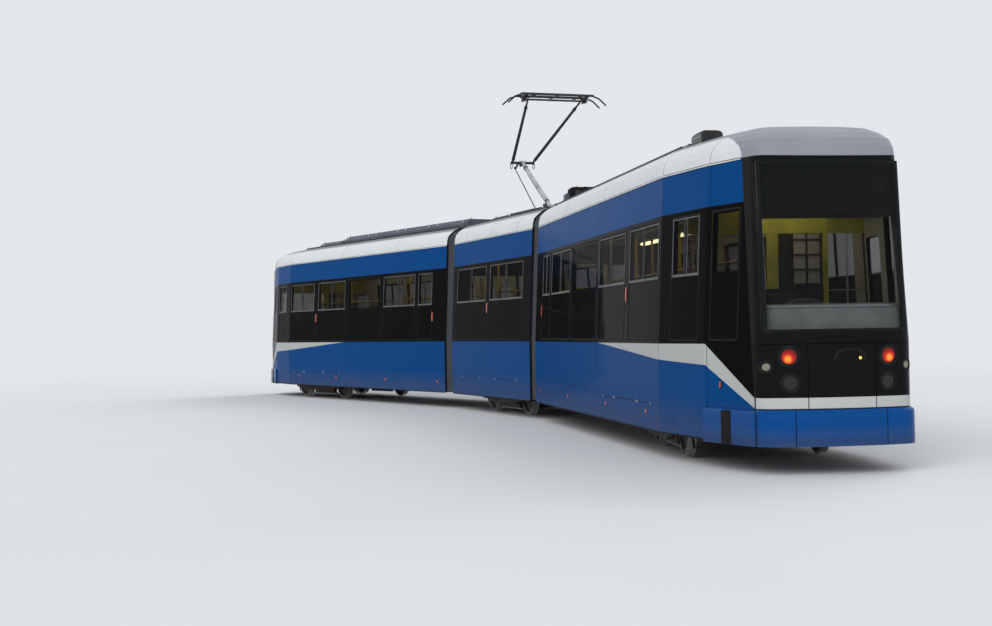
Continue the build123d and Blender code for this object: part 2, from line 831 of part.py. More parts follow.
def pantograph_base(roof):
    """Base frame on four insulators, with the bearings of the lower arm and of the guide rod."""
    foot_z = frame_top_z - frame_bar
    ends = (mast_x - 200, mast_x + 900)
    foot_x = mast_x + rod_foot[0]
    foot_pin_z = mast_z + rod_foot[1]
    base = None
    for y in (-pan_base_half, pan_base_half):
        bar = block(ends[0] - frame_bar, ends[1] + frame_bar, y - frame_bar / 2, y + frame_bar / 2, foot_z, frame_top_z)
        base = bar if base is None else base + bar
        for x in ends:
            base += post(x, y, gear_foot_z, foot_z + 1, insulator_radius)
    for x in (*ends, mast_x, foot_x):
        base += block(x - frame_bar / 2, x + frame_bar / 2, -pan_base_half, pan_base_half, foot_z, frame_top_z)
    for side in (1, -1):
        low, high = sorted((side * 85, side * 115))
        base += block(mast_x - 60, mast_x + 60, low, high, foot_z, mast_z + 40)
    low, high = rod_y + rod_eye_half + 4, rod_y + rod_eye_half + 22
    base += block(foot_x - 25, foot_x + 25, low, high, foot_z, foot_pin_z + 25)
    base -= drum(mast_x, -pan_base_half / 2, pan_base_half / 2, mast_z, arm_pin_radius + arm_pin_play)
    base += drum(foot_x, rod_y - rod_eye_half - 4, high, foot_pin_z, rod_radius)
    return base - roof


def lower_arm():
    """Lower arm tube with its pivot bar and the sleeve that the knee tube turns in."""
    knee_x, knee_z = knee()
    arm = rod((mast_x, 0, mast_z), (knee_x, 0, knee_z), arm_tube_radius)
    arm += drum(mast_x, -pan_pivot_half, pan_pivot_half, mast_z, arm_pin_radius)
    arm += drum(mast_x, -75, 75, mast_z, arm_pin_radius + 20)
    arm += drum(knee_x, -knee_sleeve_half, knee_sleeve_half, knee_z, knee_tube_radius + 16)
    return arm - drum(knee_x, -far_y, far_y, knee_z, knee_tube_radius + arm_pin_play)


def upper_arm():
    """Upper frame: knee tube with the guide rod's lever, two splayed tubes and the head bar."""
    knee_x, knee_z = knee()
    head_x, head_z = head_bar()
    width = knee_half_width + 30
    arm = drum(knee_x, -width, width, knee_z, knee_tube_radius)
    arm += drum(head_x, -head_half_width - 95, head_half_width + 95, head_z, upper_tube_radius)
    for side in (1, -1):
        foot = (knee_x, side * knee_half_width, knee_z)
        arm += rod(foot, (head_x, side * head_half_width, head_z), upper_tube_radius)
    eye = (knee_x + rod_eye[0], knee_z + rod_eye[1])
    arm += plate_link((knee_x, knee_z), eye, lever_y, lever_thickness, knee_tube_radius)
    return arm


def plate_link(start, end, y, thickness, radius):
    """Flat lever with round ends between two points in the plane along the tram."""
    (x0, z0), (x1, z1) = start, end
    link = drum(x0, y - thickness / 2, y + thickness / 2, z0, radius)
    link += drum(x1, y - thickness / 2, y + thickness / 2, z1, radius)
    along = Vector(x1 - x0, z1 - z0).normalized()
    across = Vector(-along.Y, along.X) * radius
    corners = [(x0 + across.X, z0 + across.Y), (x1 + across.X, z1 + across.Y),
               (x1 - across.X, z1 - across.Y), (x0 - across.X, z0 - across.Y)]
    web = extrude(Plane.XZ * make_face(Polyline(*corners, close=True)), thickness / 2, both=True)
    return link + Pos(0, y, 0) * web


def guide_rod():
    """Thin rod from the base to the lever at the knee, an eye at each end."""
    knee_x, knee_z = knee()
    foot = (mast_x + rod_foot[0], rod_y, mast_z + rod_foot[1])
    eye = (knee_x + rod_eye[0], rod_y, knee_z + rod_eye[1])
    made = rod(foot, eye, rod_radius)
    for x, y, z in (foot, eye):
        made += drum(x, y - rod_eye_half, y + rod_eye_half, z, 2 * rod_radius)
    return made - drum(foot[0], 0, far_y, foot[2], rod_radius + arm_pin_play)


def pantograph_head():
    """Collector head: two contact strips with drooping horns, on links that hang on the head bar."""
    head_x, head_z = head_bar()
    strip_z = head_z + head_rise
    horn_z = strip_z + strip_height / 2
    bend = (horn_half_width + pan_half_width) / 2
    made = None
    for s in (1, -1):
        x = head_x + s * strip_spacing / 2
        strip = block(x - strip_width / 2, x + strip_width / 2, -pan_half_width, pan_half_width,
                      strip_z, strip_z + strip_height)
        made = strip if made is None else made + strip
        for side in (1, -1):
            points = [(pan_half_width - 10, horn_z), (bend, horn_z - horn_drop * 0.3),
                      (horn_half_width, horn_z - horn_drop)]
            for (y0, z0), (y1, z1) in zip(points, points[1:]):
                made += rod((x, side * y0, z0), (x, side * y1, z1), horn_radius)
    for side in (1, -1):
        low, high = sorted((side * (head_half_width + 50), side * (head_half_width + 92)))
        half = strip_spacing / 2
        made += block(head_x - half, head_x + half, low, high, strip_z - 20, strip_z + 10)
        made += block(head_x - 45, head_x + 45, low, high, head_z - 35, strip_z)
    made -= drum(head_x, -far_y, far_y, head_z, upper_tube_radius + arm_pin_play)
    return made


if __name__ == "__main__":
    roofs = {"end": end_roof(), "middle": middle_roof()}
    gears = {"front": front_gear, "rear": rear_gear}
    end_pieces = {
        "body": end_shell(),
        "roof": roofs["end"],
        "mask": end_mask(),
        "windscreen": end_screen(),
        "side_glass": end_glass(),
        "doors": end_doors(),
        "bumper": end_bumper(),
        "lamps": end_lamps(),
        "display": end_display(),
        "floor": end_floor(),
        "seats": end_seats(),
        "poles": end_poles(),
        "desk": end_desk(),
    }
    for car in ("front", "rear"):
        for name, piece in end_pieces.items():
            save(f"{car}_{name}", place(piece, car))
        save(f"{car}_roof_gear", place(seated_gear(gears[car], roofs["end"]), car))
        save(f"{car}_bogie", place(on_bogie(bogie_frame(False), end_bogie_yaw), car))
        for place_name, x in (("outer", wheelbase / 2), ("inner", -wheelbase / 2)):
            save(f"{car}_{place_name}_wheelset", place(on_bogie(wheelset(x), end_bogie_yaw), car))
        save(f"{car}_bellows", hoop(car))
    save("middle_body", middle_shell())
    save("middle_roof", roofs["middle"])
    save("middle_side_glass", middle_glass())
    save("middle_floor", middle_floor())
    save("middle_seats", middle_seats())
    save("middle_poles", middle_poles())
    save("middle_roof_gear", seated_gear(middle_gear, roofs["middle"]))
    save("middle_bogie", bogie_frame(True))
    for end_name, x in (("front", wheelbase / 2), ("rear", -wheelbase / 2)):
        for side_name, side in (("left", 1), ("right", -1)):
            save(f"middle_{end_name}_{side_name}_wheel", wheel(x, side))
    save("pantograph_base", pantograph_base(roofs["middle"]))
    save("pantograph_lower_arm", lower_arm())
    save("pantograph_upper_arm", upper_arm())
    save("pantograph_rod", guide_rod())
    save("pantograph_head", pantograph_head())
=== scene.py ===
"""Looks of an articulated low-floor tram: its finishes, and the small parts round its solids."""

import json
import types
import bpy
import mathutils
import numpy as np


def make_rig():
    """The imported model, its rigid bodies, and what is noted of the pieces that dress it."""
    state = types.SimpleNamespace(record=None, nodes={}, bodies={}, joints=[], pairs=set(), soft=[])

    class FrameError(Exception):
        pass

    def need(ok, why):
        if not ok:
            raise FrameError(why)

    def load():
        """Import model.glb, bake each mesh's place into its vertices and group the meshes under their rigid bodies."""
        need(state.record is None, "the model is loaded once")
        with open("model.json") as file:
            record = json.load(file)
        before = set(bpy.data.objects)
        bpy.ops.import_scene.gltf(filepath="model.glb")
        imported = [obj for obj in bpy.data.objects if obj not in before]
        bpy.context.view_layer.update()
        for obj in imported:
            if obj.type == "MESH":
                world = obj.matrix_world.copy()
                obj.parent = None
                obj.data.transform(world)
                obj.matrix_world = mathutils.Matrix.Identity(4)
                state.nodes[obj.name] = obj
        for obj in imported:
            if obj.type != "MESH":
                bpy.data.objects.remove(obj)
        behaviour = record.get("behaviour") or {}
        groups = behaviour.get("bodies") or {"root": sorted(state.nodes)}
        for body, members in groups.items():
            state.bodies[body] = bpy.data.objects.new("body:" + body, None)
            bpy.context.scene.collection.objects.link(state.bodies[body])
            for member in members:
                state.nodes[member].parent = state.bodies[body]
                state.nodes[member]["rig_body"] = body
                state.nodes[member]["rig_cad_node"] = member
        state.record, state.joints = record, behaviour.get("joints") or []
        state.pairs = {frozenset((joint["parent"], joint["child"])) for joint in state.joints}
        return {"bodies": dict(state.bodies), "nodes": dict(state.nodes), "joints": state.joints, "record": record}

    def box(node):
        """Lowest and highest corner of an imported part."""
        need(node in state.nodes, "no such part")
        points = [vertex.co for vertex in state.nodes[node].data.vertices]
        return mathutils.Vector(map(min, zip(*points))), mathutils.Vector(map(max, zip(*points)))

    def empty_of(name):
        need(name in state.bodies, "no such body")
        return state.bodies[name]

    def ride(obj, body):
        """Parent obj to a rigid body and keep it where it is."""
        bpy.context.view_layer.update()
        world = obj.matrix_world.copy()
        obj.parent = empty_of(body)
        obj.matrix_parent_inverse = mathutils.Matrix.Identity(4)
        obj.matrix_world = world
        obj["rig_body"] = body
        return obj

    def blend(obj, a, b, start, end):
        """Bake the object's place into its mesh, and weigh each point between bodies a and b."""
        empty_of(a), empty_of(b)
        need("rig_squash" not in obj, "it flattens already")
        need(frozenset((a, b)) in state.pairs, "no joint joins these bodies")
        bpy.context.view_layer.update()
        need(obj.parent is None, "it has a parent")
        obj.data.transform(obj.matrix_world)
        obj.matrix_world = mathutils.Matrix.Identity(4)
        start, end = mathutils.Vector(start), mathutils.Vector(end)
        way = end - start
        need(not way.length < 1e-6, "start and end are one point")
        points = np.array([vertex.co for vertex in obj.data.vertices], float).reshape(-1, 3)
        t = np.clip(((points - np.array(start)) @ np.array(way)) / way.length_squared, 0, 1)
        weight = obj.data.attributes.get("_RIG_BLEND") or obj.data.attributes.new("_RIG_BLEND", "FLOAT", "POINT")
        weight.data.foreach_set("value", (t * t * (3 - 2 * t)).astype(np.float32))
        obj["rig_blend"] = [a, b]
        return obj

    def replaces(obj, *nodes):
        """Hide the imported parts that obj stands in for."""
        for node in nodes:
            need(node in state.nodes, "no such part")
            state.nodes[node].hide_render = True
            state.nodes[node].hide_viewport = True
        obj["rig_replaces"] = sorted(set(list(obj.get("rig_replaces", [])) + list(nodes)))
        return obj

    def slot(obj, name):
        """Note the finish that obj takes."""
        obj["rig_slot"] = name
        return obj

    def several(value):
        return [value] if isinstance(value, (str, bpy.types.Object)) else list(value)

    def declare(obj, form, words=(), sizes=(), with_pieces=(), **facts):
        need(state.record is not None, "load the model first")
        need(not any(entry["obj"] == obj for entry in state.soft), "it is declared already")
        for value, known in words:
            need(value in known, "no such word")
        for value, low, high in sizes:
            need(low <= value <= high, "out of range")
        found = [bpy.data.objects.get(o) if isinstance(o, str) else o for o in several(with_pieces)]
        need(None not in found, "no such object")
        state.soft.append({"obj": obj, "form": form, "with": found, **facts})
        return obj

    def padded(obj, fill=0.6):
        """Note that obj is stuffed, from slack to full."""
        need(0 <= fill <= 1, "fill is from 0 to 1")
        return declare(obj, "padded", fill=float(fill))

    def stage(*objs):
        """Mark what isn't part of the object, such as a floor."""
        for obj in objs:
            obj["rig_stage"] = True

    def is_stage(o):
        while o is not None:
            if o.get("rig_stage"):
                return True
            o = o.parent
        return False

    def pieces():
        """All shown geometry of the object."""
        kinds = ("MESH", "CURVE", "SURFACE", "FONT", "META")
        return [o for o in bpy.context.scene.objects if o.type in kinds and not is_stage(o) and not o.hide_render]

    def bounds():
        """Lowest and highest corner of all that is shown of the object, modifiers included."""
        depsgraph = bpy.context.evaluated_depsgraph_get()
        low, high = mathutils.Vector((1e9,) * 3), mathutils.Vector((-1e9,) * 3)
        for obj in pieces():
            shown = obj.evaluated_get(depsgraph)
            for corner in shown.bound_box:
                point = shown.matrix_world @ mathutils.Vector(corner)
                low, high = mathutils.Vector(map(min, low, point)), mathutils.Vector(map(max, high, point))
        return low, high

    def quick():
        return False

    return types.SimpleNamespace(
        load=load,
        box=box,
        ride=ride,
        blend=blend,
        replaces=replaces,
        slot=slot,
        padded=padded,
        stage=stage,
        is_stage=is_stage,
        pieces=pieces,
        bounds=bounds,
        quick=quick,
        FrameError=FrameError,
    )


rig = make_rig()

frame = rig.load()

import json
from functools import cache
from math import ceil, cos, pi, radians, sin, sqrt, tan

import bmesh
import bpy
from bpy.props import FloatProperty, FloatVectorProperty, IntProperty, PointerProperty
from mathutils import Matrix, Vector

bl_info = {
    "name": "Articulated low-floor tram",
    "version": (1, 0, 0),
    "blender": (4, 5, 0),
    "location": "View3D > Sidebar > Tram",
    "description": "Finishes and small parts of an articulated low-floor tram",
    "category": "Object",
}

# Driving sizes of the tram, in metres and radians, as the solids have them
HALF_WIDTH = 1.2
PIVOT = 2.419
WAIST = 1.26
CANTRAIL = 3.09
TUMBLEHOME = 0.087
SKIRT = 0.28
KINK = 8.204
NOSE = 10.54
TAPER = radians(8)
NOSE_KINK = 9.39
NOSE_TAPER = radians(15)
CORNER = 0.2
FACE = 2.2
RAKE = 0.17
BAND_TOP = 2.645
STRIPE_TOP = 1.25
DIAGONAL = 9.415
MIDDLE_END = 2.119
JOINT = 0.3
WALL = 0.06
FLOOR = 0.36
RAISED_FLOOR = 0.72
CEILING = 2.8
LINING = 2.799
STRIP_TOP = 0.728
STRIP_FOOT = 0.62
BUMPER_TOP = 0.61
BUMPER_FOOT = 0.255
BUMPER_PROUD = 0.04
BOGIE = 7.15
BOGIE_YAW = radians(5.3)
AXLE = 0.9
WHEEL_Z = 0.295
GROUND = -0.026
ROOF_RISE = 0.37

# Directions of the frame
UP = (0, 0, 1)
ACROSS = Vector((0, 1, 0))

# Heights of the side windows, and of the bar under their sliding panes
WINDOW_FOOT = 1.29
WINDOW_TOP = 2.6
TRANSOM = 1.975


def lean(z):
    """Share of the lean reached at height z: none up to the waist, all of it at the cantrail."""
    return min(max((z - WAIST) / (CANTRAIL - WAIST), 0.0), 1.0)


def plan(z, out=0.0):
    """Kinks, lines and arcs of an end section's plan at height z, pushed outwards by out."""
    width = HALF_WIDTH - TUMBLEHOME * lean(z) + out
    nose = NOSE - RAKE * lean(z) + out
    corner = CORNER + out
    face = FACE + out
    along = Vector((cos(NOSE_TAPER), -sin(NOSE_TAPER)))
    inward = Vector((-sin(NOSE_TAPER), -cos(NOSE_TAPER)))
    kink = Vector((KINK + out * tan(TAPER / 2), width))
    mean = (TAPER + NOSE_TAPER) / 2
    drawn = out / cos((NOSE_TAPER - TAPER) / 2)
    bend = Vector((NOSE_KINK + drawn * sin(mean), width - out - (NOSE_KINK - KINK) * tan(TAPER) + drawn * cos(mean)))
    centre = Vector((nose - face, 0.0))
    first = bend + inward * corner
    reach = first - centre
    half_step = reach.dot(along)
    step = sqrt(half_step**2 - reach.dot(reach) + (face - corner) ** 2) - half_step
    hub = first + along * step
    outward = (hub - centre).normalized()
    return {"width": width, "kink": kink, "bend": bend, "side": bend + along * step, "hub": hub, "corner": corner,
            "front": hub + outward * corner, "centre": centre, "face": face}


def side_v(u, z, out=0.0):
    """Half width of an end section at station u and height z."""
    p = plan(z, out)
    if u <= p["kink"].x:
        return p["width"]
    if u <= p["bend"].x:
        return p["width"] - (u - p["kink"].x) * tan(TAPER)
    if u <= p["side"].x:
        return p["bend"].y - (u - p["bend"].x) * tan(NOSE_TAPER)
    if u <= p["front"].x:
        return p["hub"].y + sqrt(max(p["corner"] ** 2 - (u - p["hub"].x) ** 2, 0.0))
    return sqrt(max(p["face"] ** 2 - (u - p["centre"].x) ** 2, 0.0))


def face_u(v, z, out=0.0):
    """Station of the bowed face, or of the corner beside it, at distance v from the middle."""
    p = plan(z, out)
    if abs(v) <= p["front"].y:
        return p["centre"].x + sqrt(p["face"] ** 2 - v * v)
    return p["hub"].x + sqrt(max(p["corner"] ** 2 - (abs(v) - p["hub"].y) ** 2, 0.0))


class Section:
    """One section of the tram, which turns its own u, v, z into places in the frame."""

    def __init__(self, car, pivot, yaw, heading):
        self.car = car
        self.body = f"{car}_car"
        self.kind = "middle" if car == "middle" else "end"
        self.pivot = pivot
        self.yaw = radians(yaw)
        self.heading = heading

    def at(self, u, v, z):
        """Place in the frame of a point of this section."""
        x = self.heading * u
        return Vector((self.pivot + x * cos(self.yaw) - v * sin(self.yaw), x * sin(self.yaw) + v * cos(self.yaw), z))

    def skin(self, u, z, side=1, out=0.0):
        """Point on the side wall, out from the paint."""
        if self.kind == "middle":
            return self.at(u, side * (HALF_WIDTH - TUMBLEHOME * lean(z) + out), z)
        return self.at(u, side * side_v(u, z, out), z)

    def nose(self, v, z, out=0.0):
        """Point on the face of an end section, out from the surface."""
        return self.at(face_u(v, z, out), v, z)


FRONT = Section("front", PIVOT, 10.6, 1)
REAR = Section("rear", -PIVOT, -10.5, -1)
MIDDLE = Section("middle", 0.0, 0.0, 1)
ENDS = (FRONT, REAR)
SECTIONS = {"front": FRONT, "rear": REAR, "middle": MIDDLE}

# Side windows along u: (start, end, where its sliding panes meet, or 0 for a fixed pane)
LEFT_WINDOWS = [(0.86, 1.47, 1.17), (1.6, 3.07, 2.33), (3.21, 4.85, 0), (5.0, 6.5, 5.72), (6.72, 8.12, 7.42),
                (8.52, 9.23, 8.88)]
# Doors take the place of two of them on the right side
RIGHT_WINDOWS = [LEFT_WINDOWS[i] for i in (0, 2, 3, 4)]
MIDDLE_WINDOWS = [(-1.75, -0.03, -0.9), (0.16, 1.86, 1.02)]
# The small pane beside each windscreen
END_WINDOW = (9.5, 10.01)
# Stations of the seams across the sides and the roofs
PANEL_JOINTS = {"middle": [-1.93, 0.065, 1.93], "end": [3.14, 4.93, 8.204, 9.45]}
ROOF_JOINTS = {"middle": [-1.4, 0.0, 1.4], "end": [2.5, 5.2, 8.204, 9.42]}
# Height that only the housings with raised heads pass
RAISED_HEAD = 3.65
# Roof housings along the section: (from, to, half width, top)
HOUSINGS = {"front": [(0.5, 6.3, 0.56, 3.61), (6.7, 7.9, 0.5, 3.56)],
            "rear": [(4.2, 5.6, 0.5, 3.6), (6.3, 7.0, 0.5, 3.6), (7.1, 7.5, 0.47, 3.69)],
            "middle": [(-2.0, -1.5, 0.45, 3.56), (1.25, 2.0, 0.45, 3.56)]}
# Door leaves of an end section, on its right side
DOOR_LEAVES = [(1.65, 2.3), (2.306, 2.956), (8.52, 9.23)]
DOOR_HEIGHTS = (0.35, 2.556)
DOOR_PANE = (1.03, 2.38)
# Half width of a seam drawn in a finish
GAP = 0.004


def windows_of(section, side):
    """Table of the side windows of a section."""
    if section is MIDDLE:
        return MIDDLE_WINDOWS
    return LEFT_WINDOWS if side > 0 else RIGHT_WINDOWS


def pane_spans(section, side):
    """From and to of every pane on one side of a section."""
    spans = [(start, end) for start, end, _ in windows_of(section, side)]
    return spans if section is MIDDLE else spans + [END_WINDOW]


def wheel_yaw(name):
    """Rest heading of a wheel's node."""
    section = SECTIONS[name.split("_")[0]]
    return section.yaw + (section.heading * BOGIE_YAW if section is not MIDDLE else 0.0)


class Value:
    """A number that varies over a surface; arithmetic on it adds Math nodes."""

    def __init__(self, graph, socket):
        self.graph = graph
        self.socket = socket

    def math(self, operation, *others):
        return self.graph.node("ShaderNodeMath", {"operation": operation}, dict(enumerate((self, *others)))).value()

    def __add__(self, other):
        return self.math("ADD", other)

    __radd__ = __add__

    def __sub__(self, other):
        return self.math("SUBTRACT", other)

    def __rsub__(self, other):
        return self.math("MULTIPLY", -1.0) + other

    def __mul__(self, other):
        return self.math("MULTIPLY", other)

    __rmul__ = __mul__

    def __truediv__(self, other):
        return self.math("DIVIDE", other)

    def __gt__(self, other):
        return self.math("GREATER_THAN", other)

    def __lt__(self, other):
        return self.math("LESS_THAN", other)

    def __abs__(self):
        return self.math("ABSOLUTE")

    def least(self, other):
        return self.math("MINIMUM", other)

    def most(self, other):
        return self.math("MAXIMUM", other)

    def within(self, low, high):
        """1 between low and high, 0 elsewhere."""
        return (self > low) * (self < high)

    def line(self, width):
        """1 within a line's half width, for a distance."""
        return self < width

    def root(self):
        return self.math("SQRT")

    def wave(self):
        """Sine of the value, from 0 to 1."""
        return self.math("SINE") * 0.5 + 0.5

    def rise(self, low, high):
        """Smooth step from 0 at low to 1 at high."""
        settings = {"interpolation_type": "SMOOTHSTEP"}
        inputs = {"Value": self, "From Min": low, "From Max": high}
        return self.graph.node("ShaderNodeMapRange", settings, inputs).value()


class Made:
    """A node just added, with its outputs as values."""

    def __init__(self, graph, node):
        self.graph = graph
        self.node = node

    def value(self, output=0):
        return Value(self.graph, self.node.outputs[output])


class Graph:
    """A node tree under construction."""

    def __init__(self, tree):
        self.tree = tree

    def put(self, socket, value):
        """Links a value to a socket, or writes a constant there."""
        if isinstance(value, Made):
            value = value.value()
        if isinstance(value, Value):
            self.tree.links.new(value.socket, socket)
        elif not isinstance(value, (int, float)) and len(value) == 3 and len(socket.default_value) == 4:
            socket.default_value = (*value, 1.0)
        else:
            socket.default_value = value

    def node(self, kind, settings=None, inputs=None):
        """Adds a node: its settings first, then the values or links of its sockets."""
        made = self.tree.nodes.new(kind)
        for name, value in (settings or {}).items():
            setattr(made, name, value)
        for name, value in (inputs or {}).items():
            self.put(made.inputs[name], value)
        return Made(self, made)


class Finish(Graph):
    """A material under construction round one Principled shader."""

    def __init__(self, name, colour=(0.8, 0.8, 0.8), roughness=0.5, **constants):
        self.material = bpy.data.materials.new(name)
        self.material.use_nodes = True
        super().__init__(self.material.node_tree)
        self.shader = self.tree.nodes["Principled BSDF"]
        self.set("Base Color", colour)
        self.set("Roughness", roughness)
        for socket, value in constants.items():
            self.set(socket.replace("_", " ").title().replace("Ior", "IOR"), value)

    def set(self, socket, value):
        """Sets or links one socket of the shader."""
        self.put(self.shader.inputs[socket], value)

    def surface(self, colour, roughness, height, distance):
        """Sets colour, roughness and relief; the relief is a height times a distance in metres."""
        self.set("Base Color", colour)
        self.set("Roughness", roughness)
        return self.bump(height, distance)

    def parts(self, output):
        """x, y and z of a coordinate of the surface point, fixed to the piece."""
        vector = self.node("ShaderNodeTexCoord").value(output)
        split = self.node("ShaderNodeSeparateXYZ", None, {0: vector})
        return [split.value(i) for i in range(3)]

    def place(self):
        """x, y and z of the surface point."""
        return self.parts("Object")

    def section(self, section):
        """u, v and z of the surface point in a section's own frame."""
        x, y, z = self.place()
        c, s = cos(section.yaw), sin(section.yaw)
        along = ((x - section.pivot) * c + y * s) * section.heading
        return along, y * c - (x - section.pivot) * s, z

    def facing(self, section=MIDDLE):
        """The surface normal along u, v and z of a section."""
        x, y, z = self.parts("Normal")
        c, s = cos(section.yaw), sin(section.yaw)
        return (x * c + y * s) * section.heading, y * c - x * s, z

    def mix(self, share, first, second):
        """First colour where share is 0, second where it is 1."""
        return self.node("ShaderNodeMix", {"data_type": "RGBA"}, {0: share, 6: first, 7: second}).value(2)

    def noise(self, scale, detail=3.0, roughness=0.55, stretch=(1, 1, 1)):
        """Cloudy pattern from 0 to 1."""
        point = self.node("ShaderNodeTexCoord").value("Object")
        point = self.node("ShaderNodeVectorMath", {"operation": "MULTIPLY"}, {0: point, 1: stretch})
        inputs = {"Vector": point, "Scale": scale, "Detail": detail, "Roughness": roughness}
        return self.node("ShaderNodeTexNoise", None, inputs).value()

    def bump(self, height, distance):
        """Relief from a height, in metres."""
        self.set("Normal", self.node("ShaderNodeBump", None, {"Height": height, "Distance": distance}))
        return self

    def on(self, obj):
        """Puts this finish on every face of an object."""
        obj.data.materials.clear()
        obj.data.materials.append(self.material)


def linked(name, data):
    """A new object in the scene."""
    made = bpy.data.objects.new(name, data)
    bpy.context.scene.collection.objects.link(made)
    return made


def meshed(name, points, faces):
    """A new object in the scene, made of points and faces."""
    mesh = bpy.data.meshes.new(name)
    mesh.from_pydata([tuple(p) for p in points], [], faces)
    return linked(name, mesh)


class Shape:
    """Collects closed forms into one mesh."""

    def __init__(self):
        self.points = []
        self.faces = []
        self.marks = []

    def add(self, points, faces, mark=0):
        """Adds points and the faces between them."""
        base = len(self.points)
        self.points.extend(Vector(p) for p in points)
        self.faces.extend([base + i for i in face] for face in faces)
        self.marks.extend([mark] * len(faces))

    def loft(self, loops, mark=0, ring=False):
        """Joins loops of equal length; the two ends are capped, or joined to each other in a ring."""
        n = len(loops[0])
        faces = []
        count = len(loops)
        for i in range(count if ring else count - 1):
            j = (i + 1) % count
            faces.extend([i * n + k, i * n + (k + 1) % n, j * n + (k + 1) % n, j * n + k] for k in range(n))
        if not ring:
            faces.append(list(range(n))[::-1])
            faces.append([(count - 1) * n + k for k in range(n)])
        self.add([p for loop in loops for p in loop], faces, mark)

    def frame(self, at, outer, inner, low, high, mark=0):
        """Flat ring between two loops, from low to high; at(loop, depth) gives a loop's places."""
        self.loft([at(outer, low), at(outer, high), at(inner, high), at(inner, low)], mark, ring=True)

    def prism(self, place, ends, outline, mark=0, side=1):
        """Bar between two stations of a section; its outline is given as (v, z)."""
        self.loft([[place.at(u, side * v, z) for v, z in outline] for u in ends], mark)

    def box(self, corner, u, v, w, mark=0):
        """Box from a corner and three edge vectors."""
        c = Vector(corner)
        base = [c, c + u, c + u + v, c + v]
        self.loft([base, [p + w for p in base]], mark)

    def tube(self, path, radius, sides=10, mark=0, ring=False):
        """Round bar along a path of points."""
        path = [Vector(p) for p in path]
        loops = []
        normal = None
        count = len(path)
        for i, point in enumerate(path):
            before = path[i - 1] if i or ring else point
            after = path[(i + 1) % count] if i < count - 1 or ring else point
            direction = (after - before).normalized()
            if normal is None:
                normal = direction.orthogonal().normalized()
            normal = (normal - direction * normal.dot(direction)).normalized()
            other = direction.cross(normal)
            size = radius[i] if isinstance(radius, (list, tuple)) else radius
            loops.append([point + (normal * cos(a) + other * sin(a)) * size
                          for a in (2 * pi * k / sides for k in range(sides))])
        self.loft(loops, mark, ring)

    def lathe(self, origin, axis, profile, sides=32, mark=0):
        """Turned form: profile is a list of (distance along the axis, radius)."""
        origin, axis = Vector(origin), Vector(axis).normalized()
        first = axis.orthogonal().normalized()
        second = axis.cross(first)
        loops = [[origin + axis * t + (first * cos(a) + second * sin(a)) * r
                  for a in (2 * pi * k / sides for k in range(sides))] for t, r in profile]
        self.loft(loops, mark)

    def build(self, name, finishes, body, slot, smooth=30, bevel=0.0):
        """Makes the object, gives it its finishes and lets it ride a body."""
        piece = meshed(name, self.points, self.faces)
        mesh = piece.data
        for finish in finishes:
            mesh.materials.append(finish.material)
        mesh.polygons.foreach_set("material_index", self.marks)
        form = bmesh.new()
        form.from_mesh(mesh)
        bmesh.ops.recalc_face_normals(form, faces=form.faces)
        form.to_mesh(mesh)
        form.free()
        mesh.shade_smooth()
        mesh.set_sharp_from_angle(angle=radians(smooth))
        if bevel:
            edge = piece.modifiers.new("edges", "BEVEL")
            edge.width = bevel
            edge.segments = 2
            edge.limit_method = "ANGLE"
            edge.harden_normals = True
        if body:
            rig.ride(piece, body)
        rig.slot(piece, slot)
        return piece


def steps(start, end, count):
    """Evenly spaced numbers from start to end, both included."""
    return [start + (end - start) * i / count for i in range(count + 1)]


def shares(start, end, count, gap):
    """Equal lengths of a span, each drawn in by a gap at both ends."""
    cuts = steps(start, end, count)
    return [(a + gap, b - gap) for a, b in zip(cuts, cuts[1:])]


def around(middle, reach):
    """The two ends of a span about its middle."""
    return middle - reach, middle + reach


def round_rect(a0, a1, b0, b1, radius, arc=4):
    """Corners of a rectangle with rounded corners, anticlockwise."""
    loop = []
    for a, b, start in ((a1, b1, 0), (a0, b1, 90), (a0, b0, 180), (a1, b0, 270)):
        ca = a - radius if a == a1 else a + radius
        cb = b - radius if b == b1 else b + radius
        loop.extend((ca + radius * cos(radians(start + 90 * k / arc)), cb + radius * sin(radians(start + 90 * k / arc)))
                    for k in range(arc + 1))
    return loop


def rgb(red, green, blue):
    """A screen colour from 0 to 255 as the renderer's own numbers."""
    return tuple((c / 255 / 12.92) if c < 11 else ((c / 255 + 0.055) / 1.055) ** 2.4 for c in (red, green, blue))


def tint(colour, share):
    """A colour made darker or lighter."""
    return tuple(min(share * c, 1.0) for c in colour)


# Finishes

# Where the white stripe starts
STRIPE_START = 4.93
# Edges of the white stripe: (station, height there, slope)
STRIPE_EDGES = {"top": (DIAGONAL, STRIPE_TOP, -0.602), "far_foot": (STRIPE_START, 1.256, -0.0561),
                "near_foot": (8.16, 1.075, -0.0336), "diagonal_foot": (DIAGONAL, 1.033, -0.467)}


def livery(finish, section):
    """Where the white stripe and the gloss black lie on a section's sides: two values from 0 to 1."""
    u, _, z = finish.section(section)
    if section is MIDDLE:
        return None, z.within(STRIPE_TOP, BAND_TOP)
    lines = {name: (u - station) * slope + height for name, (station, height, slope) in STRIPE_EDGES.items()}
    top = lines["top"].least(STRIPE_TOP).most(STRIP_TOP)
    foot = lines["far_foot"].most(lines["near_foot"]).least(lines["diagonal_foot"]).most(STRIP_FOOT)
    stripe = (z > foot) * (z < top) * (u > STRIPE_START)
    return stripe, (z > top) * (z < BAND_TOP)


